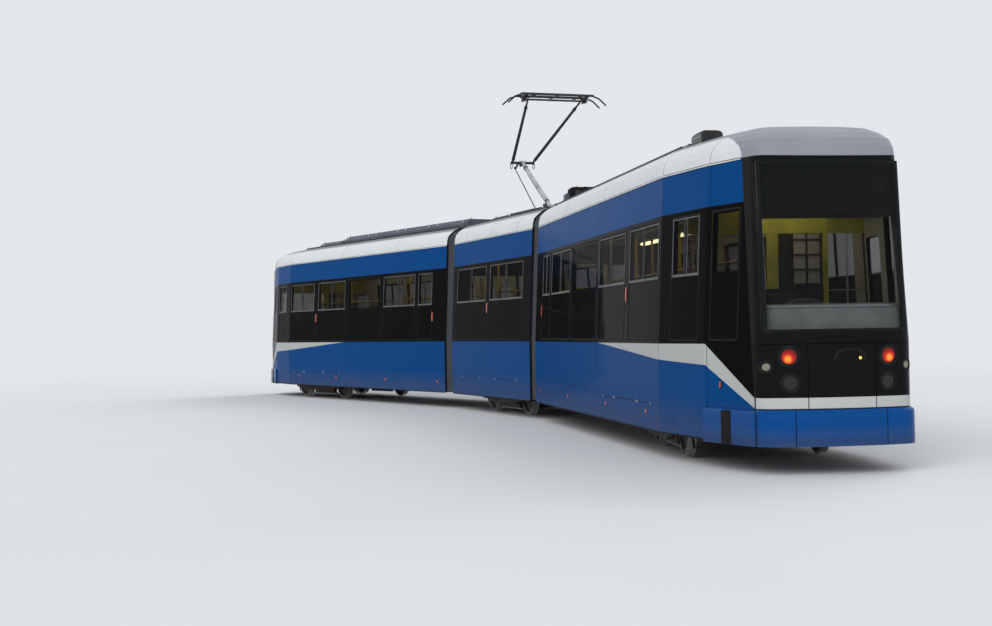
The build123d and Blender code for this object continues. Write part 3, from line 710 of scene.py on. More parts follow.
@cache
def body_paint(car):
    """Blue paint with the black window band and white stripe outside, pale lining inside."""
    section = SECTIONS[car]
    paint = bpy.context.scene.tram_paint
    f = Finish(f"{car}_body_paint", specular_ior_level=0.005, coat_roughness=0.05)
    u, v, z = f.section(section)
    _, nv, _ = f.facing(section)
    outside = (nv * v).rise(0.3, 0.7)
    inside = (nv * v * -1.0).rise(0.3, 0.7)
    stripe, black = livery(f, section)
    cloud = f.noise(0.7, 2.0)
    dust = f.noise(5.0, 4.0, stretch=(1, 1, 3)) * (1 - z.rise(0.28, 0.75)) * 0.55
    colour = f.mix(cloud * 0.5, paint.blue, tint(paint.blue, 0.82))
    colour = f.mix(black, colour, paint.gloss_black)
    if stripe:
        colour = f.mix(stripe, colour, paint.stripe_white)
    joints = 0.0
    for station in PANEL_JOINTS[section.kind]:
        joints = joints + abs(u - station).line(GAP)
    joints = joints + abs(z - BAND_TOP - 0.004).line(GAP) + abs(z - STRIPE_TOP - 0.004).line(0.003)
    joints = joints.least(1.0)
    colour = f.mix(joints, colour, rgb(12, 14, 18))
    colour = f.mix(dust, colour, rgb(92, 86, 76))
    lining = f.mix(z.rise(0.9, 0.95), rgb(96, 100, 102), rgb(176, 176, 166))
    colour = f.mix(outside, f.mix(inside, rgb(14, 15, 17), lining), colour)
    f.set("Coat Weight", (1 - black) * outside * 0.05)
    return f.surface(colour, 0.26 - black * 0.16 + dust * 0.5 + inside * 0.25,
                     f.noise(1.1, 1.0) * 0.9 + f.noise(90.0, 2.0) * 0.012 - joints * 0.6, 0.004)


@cache
def roof_paint(car):
    """Near-white cove along the roof edges, grey dome at the nose, dull grey on top."""
    section = SECTIONS[car]
    f = Finish(f"{car}_roof_paint", specular_ior_level=0.25)
    u, _, z = f.section(section)
    _, _, nz = f.facing(section)
    rise = z - CANTRAIL
    streaks = f.noise(3.0, 4.0, stretch=(1, 1, 0.3))
    white = f.mix(streaks * 0.5, rgb(212, 216, 217), rgb(184, 188, 190))
    top = f.mix(f.noise(2.2, 5.0), rgb(128, 131, 134), rgb(98, 101, 104))
    colour = f.mix(rise.rise(0.26, 0.29), white, top)
    joints = rise.within(0.0, 0.008) * ((u < 9.98) if section is not MIDDLE else 1.0)
    for station in ROOF_JOINTS[section.kind]:
        joints = joints + abs(u - station).line(GAP)
    if section is not MIDDLE:
        above = rise.most(0.0)
        dome = (u + above * above * above.root() * 14.2 - 9.985).rise(0.0, 0.012)
        grey = f.mix(f.noise(1.5, 3.0), rgb(140, 142, 150), rgb(118, 121, 130))
        colour = f.mix(dome, colour, grey)
    colour = f.mix(joints.least(1.0), colour, rgb(16, 17, 19))
    ceiling = (nz * -1.0).rise(0.5, 0.8) * (rise < -0.1)
    colour = f.mix(ceiling, colour, rgb(205, 205, 196))
    return f.surface(colour, 0.32 + streaks * 0.16, f.noise(1.4, 2.0) * 0.8 - joints * 0.5, 0.004)


@cache
def mask_gloss(car):
    """Gloss black moulding of the face with the white strip along its foot and its panel seams."""
    section = SECTIONS[car]
    paint = bpy.context.scene.tram_paint
    f = Finish(f"{car}_mask_gloss", specular_ior_level=0.06)
    _, v, z = f.section(section)
    nu, nv, _ = f.facing(section)
    strip = z.within(STRIP_FOOT, STRIP_TOP)
    low = z < 1.24
    seams = (abs(v - 0.325).line(GAP) + abs(v + 0.36).line(GAP) + abs(abs(v) - 0.79).line(GAP)) * low
    seams = (seams + abs(z - 1.243).line(0.005) + abs(z - STRIP_TOP).line(0.003)).least(1.0)
    colour = f.mix(f.noise(8.0, 4.0) * 0.5, paint.gloss_black, tint(paint.gloss_black, 1.7))
    colour = f.mix(strip, colour, paint.stripe_white)
    colour = f.mix(seams, colour, rgb(4, 4, 5))
    crown = (z + (1 - v * v * 1.78) * 0.02 - CANTRAIL).rise(0.0, 0.004) * (abs(v) < 0.75)
    colour = f.mix(crown, colour, rgb(130, 132, 140))
    inner = ((nu * -1.0).most(nv * v * -1.0)).rise(0.3, 0.6)
    roughness = 0.1 + strip * 0.2 + f.noise(6.0, 3.0) * 0.06 + inner * 0.3
    return f.surface(f.mix(inner, colour, rgb(60, 62, 64)), roughness, f.noise(1.6, 1.0) * 0.6 - seams * 0.8, 0.004)


@cache
def bumper_paint(car):
    """Bright blue bumper skin with fine seams and road dust along its foot."""
    section = SECTIONS[car]
    paint = bpy.context.scene.tram_paint
    f = Finish(f"{car}_bumper_paint", specular_ior_level=0.06, coat_weight=0.06, coat_roughness=0.06)
    u, v, z = f.section(section)
    seams = (abs(abs(v) - 0.46).line(GAP) + (abs(abs(v) - 0.805).line(GAP)) * (u > 10.0)).least(1.0)
    dust = f.noise(6.0, 4.0, stretch=(1, 1, 3)) * (1 - z.rise(0.25, 0.5)) * 0.6
    scuffs = f.noise(40.0, 5.0, stretch=(1, 1, 6)).rise(0.66, 0.72) * 0.35
    colour = f.mix(f.noise(2.0, 3.0) * 0.5, paint.bumper_blue, tint(paint.bumper_blue, 0.8))
    colour = f.mix(scuffs, colour, rgb(60, 66, 78))
    colour = f.mix(dust, colour, rgb(80, 76, 68))
    roll = z.rise(0.52, 0.62) * 7.0 + (1 - z.rise(0.24, 0.36)) * 6.0
    return f.surface(f.mix(seams, colour, rgb(5, 8, 14)), 0.24 + dust * 0.5 + scuffs * 0.4,
                     f.noise(1.5, 1.0) * 0.7 - seams - roll, 0.004)


@cache
def side_glass(car):
    """Tinted side panes with a black printed border."""
    section = SECTIONS[car]
    f = Finish(f"{car}_side_glass", rgb(17, 16, 14), 0.03, specular_ior_level=0.004)
    u, _, z = f.section(section)
    border = 1 - z.within(WINDOW_FOOT + 0.035, WINDOW_TOP - 0.035)
    for start, end in pane_spans(section, 1):
        border = border.most(u.within(start - 0.01, start + 0.03)).most(u.within(end - 0.03, end + 0.01))
    film = f.noise(3.0, 3.0)
    f.set("Alpha", (border + 0.52 + (TRANSOM - z).rise(-0.02, 0.02) * 0.4 + film * 0.03).least(1.0))
    f.set("Roughness", 0.025 + film * 0.02)
    return f.bump(f.noise(0.9, 1.0), 0.004)


@cache
def windscreen_glass(car):
    """Clear windscreen with a black printed border and a dark shade band before the display."""
    f = Finish(f"{car}_windscreen_glass", rgb(16, 19, 20), 0.02, specular_ior_level=0.12)
    _, v, z = f.section(SECTIONS[car])
    border = 1 - (abs(v) < 0.69) * z.within(1.385, 3.0)
    shade = z.rise(2.44, 2.5) * 0.35
    f.set("Alpha", (border + shade + 0.2).least(1.0))
    f.set("Roughness", 0.02 + f.noise(4.0, 3.0) * 0.02)
    return f.bump(f.noise(0.8, 1.0), 0.003)


# Lamps of a face: (across, up, radius of the ring); the lit spot of the upper one; the small lamp
LAMPS = ((0.5, 1.123, 0.095), (0.492, 0.868, 0.088), (0.71, 1.025, 0.055))
HOT_SPOT = (0.512, 1.098)
SMALL_LAMP = (-0.193, 1.1)


@cache
def lamp_glass(car):
    """Lamp inserts: red tail lamps with a hot spot, dark lower lamps, whitish outer lamps."""
    f = Finish(f"{car}_lamp_glass", specular_ior_level=0.25, coat_weight=0.08, emission_strength=1.0)
    _, v, z = f.section(SECTIONS[car])
    side = abs(v)

    def away(v0, z0):
        return ((side - v0) * (side - v0) + (z - z0) * (z - z0)).root()

    upper, lower, outer = (away(v0, z0) for v0, z0, _ in LAMPS)
    ribs = (upper * 260.0).wave()
    red = 1 - upper.rise(0.06, 0.085)
    hot = 1 - away(*HOT_SPOT).rise(0.012, 0.05)
    dark = 1 - lower.rise(0.058, 0.066)
    clear = 1 - outer.rise(0.04, 0.047)
    tail = car == "rear"
    colour = f.mix(red, rgb(10, 10, 11), rgb(104, 10, 8) if tail else rgb(196, 200, 204))
    colour = f.mix(dark, colour, rgb(34, 32, 31) if tail else rgb(190, 194, 198))
    colour = f.mix(clear, colour, rgb(122, 120, 104))
    halo = 1 - away(*HOT_SPOT).rise(0.02, 0.09)
    red_glow = f.mix(halo, rgb(34, 2, 2), rgb(206, 30, 8))
    glow = f.mix(hot, red_glow, rgb(255, 160, 50)) if tail else f.mix(hot, rgb(60, 60, 56), rgb(235, 232, 220))
    f.set("Emission Color", f.mix(red, (0.0, 0.0, 0.0), glow))
    return f.surface(colour, 0.05 + ribs * 0.1, ribs * 0.5 + f.noise(30.0, 2.0) * 0.2, 0.002)


@cache
def display_panel(car):
    """Blank destination panel: unlit dots in a grid behind a dark border."""
    f = Finish(f"{car}_display_panel", roughness=0.35)
    _, v, z = f.section(SECTIONS[car])
    field = (abs(v) < 0.6) * z.within(2.6, 2.95)
    dots = (v * 420.0).wave() * (z * 420.0).wave() * field
    return f.surface(f.mix(dots, rgb(9, 9, 10), rgb(40, 30, 18)), 0.42 - field * 0.2, dots, 0.001)


@cache
def floor_finish(car):
    """Speckled grey floor covering on top, sprayed underseal below."""
    f = Finish(f"{car}_floor_covering", roughness=0.7)
    _, _, nz = f.facing(SECTIONS[car])
    _, _, z = f.section(SECTIONS[car])
    top = nz.rise(0.5, 0.8) * (z > 0.355)
    speckle = f.noise(900.0, 1.0).rise(0.55, 0.62)
    walked = f.noise(1.6, 4.0)
    covering = f.mix(speckle, f.mix(walked, rgb(84, 88, 92), rgb(70, 73, 76)), rgb(132, 134, 130))
    under = f.mix(f.noise(7.0, 5.0), rgb(26, 26, 26), rgb(66, 60, 52))
    return f.surface(f.mix(top, under, covering), 0.85 - top * 0.25 + walked * 0.1,
                     speckle * 0.3 + f.noise(60.0, 4.0), 0.0008)


def worn(name, colour, dull, scale, roughness, metallic=0.0, relief=0.0006, **constants):
    """A coat that goes from one tone to a duller one in patches, with a fine grain."""
    f = Finish(name, roughness=roughness, metallic=metallic, **constants)
    patches = f.noise(scale, 5.0)
    return f.surface(f.mix(patches.rise(0.35, 0.7), colour, dull), roughness + patches * 0.22,
                     f.noise(scale * 14, 3.0), relief)


def plain(*values, **constants):
    """A maker of one worn coat, which it makes once."""
    return cache(lambda: worn(*values, **constants))


seat_shell = plain("seat_shell_plastic", rgb(52, 66, 96), rgb(44, 54, 78), 6.0, 0.42)
pole_coat = plain("pole_yellow_coat", rgb(222, 190, 28), rgb(196, 160, 24), 9.0, 0.28, coat_weight=0.5)
desk_plastic = plain("desk_plastic", rgb(34, 35, 38), rgb(24, 25, 27), 12.0, 0.55)
rubber = plain("black_rubber", rgb(20, 20, 21), rgb(32, 32, 33), 8.0, 0.7, specular_ior_level=0.15)
dark_steel = plain("dark_steel", rgb(40, 41, 43), rgb(60, 58, 55), 10.0, 0.5, 0.4)
arm_grey = plain("pantograph_grey_coat", rgb(176, 178, 178), rgb(140, 140, 138), 7.0, 0.38, 0.2)
arm_black = plain("pantograph_black_coat", rgb(24, 25, 27), rgb(40, 39, 38), 9.0, 0.45)
frame_alloy = plain("window_frame_coat", rgb(92, 94, 96), rgb(70, 72, 74), 6.0, 0.4, 0.3)
gloss_plastic = plain("gloss_black_plastic", rgb(12, 12, 13), rgb(20, 20, 21), 5.0, 0.15, specular_ior_level=0.2)
cove_white = plain("gutter_white", rgb(214, 217, 218), rgb(186, 190, 192), 4.0, 0.35)
ledge_grey = plain("ledge_grey_panel", rgb(116, 123, 121), rgb(100, 107, 105), 5.0, 0.5, relief=0.0008)
cabin_panel = plain("cabin_panel_grey", rgb(196, 196, 188), rgb(180, 180, 172), 3.0, 0.45)
cab_yellow = plain("cab_wall_yellow", rgb(176, 172, 62), rgb(150, 148, 52), 4.0, 0.4)
red_plastic = plain("stop_button_red", rgb(176, 26, 20), rgb(150, 22, 18), 20.0, 0.3, coat_weight=0.4)


@cache
def gear_coat():
    """Roof housings: dark blue-grey sheet with rain streaks."""
    f = Finish("roof_gear_coat", roughness=0.5)
    streaks = f.noise(6.0, 4.0, stretch=(1, 1, 0.2))
    patches = f.noise(1.3, 4.0)
    colour = f.mix(patches, rgb(74, 84, 98), rgb(56, 64, 76))
    colour = f.mix(streaks.rise(0.5, 0.75) * 0.5, colour, rgb(110, 112, 110))
    return f.surface(colour, 0.42 + patches * 0.25, f.noise(2.0, 2.0), 0.003)


@cache
def frame_steel():
    """Bogie frames: dark paint under brown brake dust."""
    f = Finish("bogie_frame_steel", roughness=0.75)
    patches = f.noise(5.0, 6.0)
    _, _, nz = f.facing()
    settled = nz.rise(0.3, 0.9) * 0.6
    colour = f.mix(patches.rise(0.4, 0.65), rgb(32, 32, 33), rgb(58, 50, 42))
    return f.surface(f.mix(settled, colour, rgb(96, 84, 70)), 0.62 + patches * 0.25,
                     patches + f.noise(120.0, 3.0) * 0.3, 0.0015)


def wheel_steel(name, centre, yaw):
    """Wheels: polished tread, dull machined rim, rusty web, painted hub."""
    f = Finish(name, roughness=0.5)
    x, y, z = f.place()
    along = (x - centre.x) * cos(yaw) + (y - centre.y) * sin(yaw)
    radius = (along * along + (z - centre.z) * (z - centre.z)).root()
    patches = f.noise(9.0, 6.0)
    tread = radius.rise(0.288, 0.292)
    web = radius.within(0.1, 0.236)
    colour = f.mix(patches, rgb(78, 66, 56), rgb(52, 46, 42))
    colour = f.mix(web, f.mix(patches, rgb(64, 58, 52), rgb(46, 44, 42)), colour)
    f.set("Metallic", tread * 0.9)
    return f.surface(f.mix(tread, colour, rgb(172, 172, 170)), 0.68 - tread * 0.42 + patches * 0.15,
                     (radius * 1400.0).wave() * 0.2 + patches * 0.6, 0.0006)


@cache
def bellows_rubber():
    """Pleated coated fabric, greyed in patches."""
    f = Finish("bellows_rubber", roughness=0.78)
    patches = f.noise(4.0, 4.0)
    weave = f.noise(420.0, 2.0)
    return f.surface(f.mix(patches, rgb(52, 55, 59), rgb(72, 75, 79)), 0.72 + patches * 0.15, weave, 0.0006)


@cache
def bare_metal():
    """Brushed light alloy."""
    f = Finish("bare_alloy", rgb(168, 170, 172), 0.35, metallic=0.85)
    grain = f.noise(60.0, 3.0, stretch=(1, 1, 14))
    return f.surface(f.mix(grain, rgb(150, 152, 154), rgb(186, 188, 190)), 0.28 + grain * 0.2, grain, 0.0003)


@cache
def glow_strip():
    """Ceiling light covers, lit from within."""
    f = Finish("ceiling_light_cover", rgb(240, 238, 226), 0.4, emission_color=rgb(255, 240, 190))
    f.set("Emission Strength", bpy.context.scene.tram_sizes.cabin_light)
    return f.bump(f.noise(200.0, 1.0), 0.0003)


@cache
def marker_lens():
    """Orange-red lens with fine ribs."""
    f = Finish("marker_lens", rgb(178, 74, 30), 0.12, coat_weight=0.1, emission_strength=0.05)
    _, _, z = f.place()
    ribs = (z * 900.0).wave()
    f.set("Emission Color", f.mix(ribs, rgb(230, 60, 12), rgb(150, 24, 4)))
    return f.surface(f.mix(ribs, rgb(186, 80, 34), rgb(150, 54, 22)), 0.1 + ribs * 0.1, ribs, 0.001)


@cache
def warm_lens():
    """Small lit lamp."""
    f = Finish("warm_lens", rgb(240, 200, 110), 0.1, emission_strength=1.2)
    shade = f.noise(90.0, 2.0)
    f.set("Base Color", f.mix(shade, rgb(244, 206, 120), rgb(230, 180, 90)))
    f.set("Emission Color", f.mix(shade, rgb(250, 196, 96), rgb(240, 170, 70)))
    return f.bump(shade, 0.0005)


# Shapes that the pieces share


def panel(shape, section, side, span, heights, low, high, mark=0):
    """Strip on a side wall from depth low to depth high, following the skin."""
    z0, z1 = heights
    levels = [z0, WAIST, z1] if z0 < WAIST < z1 else [z0, z1]
    outline = [(z, low) for z in levels] + [(z, high) for z in reversed(levels)]
    shape.loft([[section.skin(u, z, side, out) for z, out in outline] for u in span], mark)


def side_ring(shape, section, side, outer, inner, low, high, mark=0):
    """Ring on a side wall between two loops of (u, z)."""
    shape.frame(lambda loop, out: [section.skin(u, z, side, out) for u, z in loop], outer, inner, low, high, mark)


def face_ring(shape, section, outer, inner, low, high, mark=0):
    """Ring on the face of an end between two loops of (v, z)."""
    shape.frame(lambda loop, out: [section.nose(v, z, out) for v, z in loop], outer, inner, low, high, mark)


def circle(a, b, radius, count=28, start=0.0):
    """Points of a circle."""
    turns = [2 * pi * k / count + start for k in range(count)]
    return [(a + radius * cos(turn), b + radius * sin(turn)) for turn in turns]


def outward(section, u, z, side):
    """Direction straight out of a side wall."""
    return (section.skin(u, z, side, 0.1) - section.skin(u, z, side, 0.0)).normalized()


def stud(shape, section, u, z, side, radius, height, mark=0, sides=14, lift=0.0):
    """Round headed fitting on a side wall."""
    profile = [(-0.004, radius), (height * 0.5, radius), (height * 0.85, radius * 0.82), (height, radius * 0.4)]
    start = section.skin(u, z, side, lift)
    shape.lathe(start, outward(section, u, z, side), profile, sides, mark)


# Windows and side trim


def window_trim(section):
    """Seals round the panes, sliding upper panes in grey frames, black posts where they meet."""
    seals, frames = Shape(), Shape()
    for side in (1, -1):
        for start, end in pane_spans(section, side):
            outer = round_rect(start - 0.008, end + 0.008, WINDOW_FOOT - 0.008, WINDOW_TOP + 0.008, 0.02, 3)
            inner = round_rect(start + 0.008, end - 0.008, WINDOW_FOOT + 0.008, WINDOW_TOP - 0.008, 0.035, 3)
            side_ring(seals, section, side, outer, inner, -0.006, 0.002)
        for start, end, split in windows_of(section, side):
            if not split:
                continue
            top = WINDOW_TOP - 0.03
            panel(frames, section, side, (start + 0.012, end - 0.012), around(TRANSOM, 0.014), -0.004, 0.006)
            panel(frames, section, side, (start + 0.012, end - 0.012), (top, top + 0.014), -0.004, 0.004)
            for u in (start + 0.012, end - 0.026):
                panel(frames, section, side, (u, u + 0.014), (TRANSOM, top), -0.004, 0.005)
            panel(frames, section, side, around(split, 0.033), (TRANSOM + 0.014, top), -0.004, 0.003, 1)
            for u in (split - 0.037, split + 0.033):
                panel(frames, section, side, (u, u + 0.004), (TRANSOM + 0.014, top), -0.004, 0.006)
            panel(frames, section, side, (split - 0.06, split - 0.04), (2.22, 2.3), 0.0, 0.009, 1)
    seals.build(f"{section.car}_window_seals", [rubber()], section.body, "bellows_rubber")
    frames.build(f"{section.car}_window_frames", [frame_alloy(), rubber()], section.body, "roof_gear_grey", bevel=0.002)


# Marker lamps of the sides: (station, height)
SIDE_MARKERS = {"rear": [(0.83, 1.73), (6.6, 1.83)], "front": [(0.83, 1.73), (6.6, 1.8)], "middle": [(0.09, 1.84)]}
# Stations of the reflectors, and spans of the service flaps in the skirts
REFLECTORS = {"end": [0.62, 2.95, 5.46, 7.57], "middle": []}
FLAPS = {"rear": [(5.3, 5.9), (5.95, 7.1), (7.15, 7.79)], "front": [(5.3, 6.14), (6.2, 7.29), (7.35, 7.86)],
         "middle": [(0.47, 1.53), (-1.44, -0.35)]}


def side_trim(section):
    """Marker lamps on the pillars, reflectors, service flaps with their screws, and the gutter."""
    trim = Shape()
    for side in (1, -1):
        for u, z in SIDE_MARKERS[section.car]:
            outer = round_rect(u - 0.034, u + 0.034, z - 0.1, z + 0.1, 0.02, 3)
            inner = round_rect(u - 0.026, u + 0.026, z - 0.092, z + 0.092, 0.014, 3)
            side_ring(trim, section, side, outer, inner, -0.002, 0.007, 0)
            rows = []
            for i, height in enumerate(steps(z - 0.09, z + 0.09, 6)):
                crown = 0.006 + 0.008 * sin(pi * i / 6) ** 0.5
                rows.append([section.skin(u + half, height, side, out) for half, out in
                             ((-0.024, 0.001), (0.024, 0.001), (0.018, crown), (-0.018, crown))])
            trim.loft(rows, 1)
        for u in REFLECTORS[section.kind]:
            stud(trim, section, u, 0.48, side, 0.034, 0.004, 0, 24)
            stud(trim, section, u, 0.48, side, 0.028, 0.008, 1, 24)
        for start, end in FLAPS[section.car]:
            z = 0.575 if section is not MIDDLE else 0.6
            panel(trim, section, side, (start, end), around(z, 0.004), -0.002, 0.0015, 0)
            for u in (start + 0.012, end - 0.012):
                stud(trim, section, u, z, side, 0.015, 0.004, 2)
                panel(trim, section, side, around(u, 0.0015), (SKIRT + 0.005, z - 0.015), -0.002, 0.0006, 0)
        if section is MIDDLE:
            spans = [(-MIDDLE_END, MIDDLE_END)]
        else:
            spans = [(JOINT, KINK), (KINK, NOSE_KINK), (NOSE_KINK, 9.98)]
            panel(trim, section, side, (9.69, 9.72), (0.805, 0.875), -0.002, 0.008, 0)
            panel(trim, section, side, (9.694, 9.716), (0.81, 0.87), 0.004, 0.013, 1)
        for start, end in spans:
            panel(trim, section, side, (start + 0.002, end - 0.002), (3.076, 3.089), 0.0, 0.007, 3)
            panel(trim, section, side, (start + 0.002, end - 0.002), (3.07, 3.076), -0.001, 0.003, 0)
            panel(trim, section, side, (start + 0.002, end - 0.002), (SKIRT - 0.012, SKIRT + 0.004), -0.012, 0.003, 0)
    trim.build(f"{section.car}_side_trim", [rubber(), marker_lens(), bare_metal(), cove_white()], section.body,
               "body_paint", bevel=0.001)


# Faces


def bumper_out(z):
    """How far the bumper's skin stands out at height z, rounded along its top edge."""
    above = max(z - (BUMPER_TOP - 0.045), 0.0)
    return BUMPER_PROUD - 0.045 + sqrt(max(0.045**2 - above**2, 0.0))


def face_trim(section):
    """Screen seal, lamp rings, handle recess, small lamp and bumper straps of one end."""
    trim = Shape()
    outer = round_rect(-0.74, 0.74, 1.345, 3.045, 0.06, 6)
    inner = round_rect(-0.708, 0.708, 1.377, 3.013, 0.04, 6)
    face_ring(trim, section, outer, inner, -0.006, 0.003, 0)
    for v, z, radius in LAMPS:
        for side in (1, -1):
            spot = circle(side * v, z, radius + 0.01)
            face_ring(trim, section, spot, circle(side * v, z, radius - 0.008), -0.004, 0.004, 0)
            face_ring(trim, section, circle(side * v, z, radius - 0.012), circle(side * v, z, radius - 0.02), -0.006,
                      0.0015, 3)
    hood = [(0.085, 1.075), (0.06, 1.15), (0.02, 1.185), (-0.05, 1.2), (-0.14, 1.2), (-0.21, 1.185), (-0.25, 1.15),
            (-0.275, 1.075)]
    lip = [(v * 0.93 - 0.007, 1.085 + (z - 1.075) * 0.85) for v, z in hood]
    face_ring(trim, section, hood, lip, -0.004, 0.006, 0)
    trim.loft([[section.nose(v, z, out) for v, z in loop] for loop, out in ((hood, 0.0005), (lip, 0.0015))], 3)
    out = section.nose(*SMALL_LAMP, 0.1) - section.nose(*SMALL_LAMP)
    trim.lathe(section.nose(*SMALL_LAMP), out, [(-0.002, 0.022), (0.007, 0.021), (0.009, 0.016)], 20, 0)
    trim.lathe(section.nose(*SMALL_LAMP, 0.004), out, [(0.0, 0.015), (0.006, 0.014), (0.009, 0.007)], 20, 2)
    low, high = BUMPER_FOOT + 0.004, 0.608
    strap = [(z, bumper_out(z) + lift) for start, end, lift in ((low, high, 0.004), (high, low, -0.004))
             for z in steps(start, end, 14)]
    for side in (1, -1):
        trim.loft([[section.skin(u, z, side, out) for z, out in strap] for u in steps(9.77, 9.94, 4)], 0)
    trim.build(f"{section.car}_face_trim", [rubber(), bare_metal(), warm_lens(), gloss_plastic()], section.body,
               "black_gloss", bevel=0.0012)


def screen_ledge(section):
    """Pale ledge behind the foot of the windscreen and the instrument hood on the desk."""
    ledge = Shape()
    board = [(-0.07, 1.372), (-0.066, 1.555), (-0.09, 1.61), (-0.24, 1.63), (-0.26, 1.6), (-0.11, 1.585),
             (-0.084, 1.55), (-0.084, 1.372)]
    foot = [(-0.045, 1.366), (-0.045, 1.384), (-0.06, 1.384), (-0.06, 1.366)]
    rail = [(-0.07, 1.596), (-0.07, 1.612), (-0.095, 1.632), (-0.095, 1.61)]
    for half, outline, mark in ((0.69, board, 0), (0.7, foot, 1), (0.69, rail, 1)):
        ledge.loft([[section.nose(v, z, out) for out, z in outline] for v in steps(-half, half, 24)], mark)
    hood = []
    for i, v in enumerate(steps(-0.18, 0.48, 16)):
        swell = sin(pi * i / 16) ** 0.4
        top = 1.4 + 0.3 * swell
        hood.append([section.at(9.86, v, 1.33), section.at(9.86, v, top - 0.05 * swell), section.at(9.95, v, top),
                     section.at(10.06, v, top - 0.03 * swell), section.at(10.1, v, 1.33)])
    ledge.loft(hood, 2)
    ledge.build(f"{section.car}_screen_ledge", [ledge_grey(), bare_metal(), desk_plastic()], section.body, "desk_black",
                bevel=0.003)


# Bellows

# Height at which the blend's two ends lie
BLEND_Z = 1.7
# Outline of the roof over the cantrail: (height, how far it is drawn in)
ROOF_LEVELS = [(0.0, 0.0), (0.09, 0.008), (0.17, 0.035), (0.24, 0.105), (0.3, 0.19), (0.34, 0.285),
               (ROOF_RISE, 0.56)]


def hoop_path(inset, foot):
    """Left half of the straight body's outline, drawn in by inset: (v, z) from its foot to the top."""
    edge = HALF_WIDTH - TUMBLEHOME - inset
    path = [(HALF_WIDTH - inset, foot), (HALF_WIDTH - inset, 0.8), (HALF_WIDTH - inset, WAIST),
            (HALF_WIDTH - inset - TUMBLEHOME * 0.5, 2.175)]
    return path + [(edge - draw, CANTRAIL + rise * (1 - inset / ROOF_RISE)) for rise, draw in ROOF_LEVELS]


def hoop(outer, inner, foot):
    """Closed outline round the straight body between two distances inside its skin: (v, z)."""
    half, back = hoop_path(outer, foot), hoop_path(inner, foot)
    return half + [(-v, z) for v, z in reversed(half)] + [(-v, z) for v, z in back] + back[::-1]


def bellows(section, count):
    """Pleated bellows between the middle section and one end, shaped to bend with the joint."""
    cover = Shape()
    side = section.heading
    rows = []
    for i in range(4 * count + 1):
        share = 0.004 + 0.992 * (i / (4 * count))
        fold = 0.5 - 0.5 * cos(2 * pi * i / 4)
        inset = 0.038 + 0.03 * fold
        rows.append([MIDDLE.at(side * MIDDLE_END, v, z).lerp(section.at(JOINT, v, z), share)
                     for v, z in hoop(inset, inset + 0.028, 0.302)])
    cover.loft(rows)
    piece = cover.build(f"{section.car}_bellows_pleats", [bellows_rubber()], None, "bellows_rubber", smooth=50)
    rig.replaces(piece, f"{section.car}_bellows")
    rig.blend(piece, "middle_car", section.body, start=MIDDLE.at(side * MIDDLE_END, 0, BLEND_Z),
             end=section.at(JOINT, 0, BLEND_Z))
    for car, u, depth, name in ((MIDDLE, side * (MIDDLE_END - 0.001), -side * 0.012, "inner"),
                                (section, JOINT + 0.001, 0.012, "outer")):
        ring = Shape()
        ring.prism(car, (u, u - depth), hoop(0.004, 0.03, 0.29))
        ring.build(f"{section.car}_bellows_{name}_frame", [rubber()], car.body, "bellows_rubber")


# Doors


def crate(shape, place, us, vs, zs, mark=0):
    """Block between two stations, two distances from the middle and two heights."""
    corner = place.at(us[0], vs[0], zs[0])
    shape.box(corner, place.at(us[1], vs[0], zs[0]) - corner, place.at(us[0], vs[1], zs[0]) - corner,
              place.at(us[0], vs[0], zs[1]) - corner, mark)


def door_trim(section):
    """Rubbers, glass seals, push buttons and thresholds of the doors on the right side."""
    trim = Shape()
    for start, end in DOOR_LEAVES:
        for u in (start + 0.002, end - 0.018):
            panel(trim, section, -1, (u, u + 0.016), DOOR_HEIGHTS, -0.002, 0.004, 0)
        panel(trim, section, -1, (start, end), (0.346, 0.372), -0.002, 0.004, 0)
        outer = round_rect(start + 0.07, end - 0.07, *DOOR_PANE, 0.03, 4)
        inner = round_rect(start + 0.088, end - 0.088, DOOR_PANE[0] + 0.018, DOOR_PANE[1] - 0.018, 0.045, 4)
        side_ring(trim, section, -1, outer, inner, -0.008, 0.003, 0)
        panel(trim, section, -1, (start + 0.02, end - 0.02), (0.29, 0.33), -0.004, 0.003, 1)
        for z in (0.295 + 0.007 * k for k in range(5)):
            panel(trim, section, -1, (start + 0.03, end - 0.03), (z, z + 0.003), 0.003, 0.005, 1)
    for u, z in ((2.303 - 0.06, 0.9), (2.303 + 0.06, 0.9), (8.46, 1.15), (1.56, 1.12)):
        for radius, height, mark in ((0.034, 0.006, 1), (0.026, 0.01, 0), (0.019, 0.014, 2)):
            stud(trim, section, u, z, -1, radius, height, mark, 24)
    trim.build(f"{section.car}_door_trim", [rubber(), bare_metal(), warm_lens()], section.body, "black_gloss",
               bevel=0.001)


# Roof


def louvre(shape, section, span, edge, side, heights, count, mark):
    """Blades one above the other on the side of a roof housing."""
    low, high = heights
    pitch = (high - low) / count
    for k in range(count):
        z = low + pitch * k
        blade = [(edge - 0.002, z + 0.1 * pitch), (edge + 0.014, z + 0.15 * pitch), (edge + 0.012, z + 0.3 * pitch),
                 (edge - 0.002, z + 0.8 * pitch)]
        shape.prism(section, span, blade, mark, side)


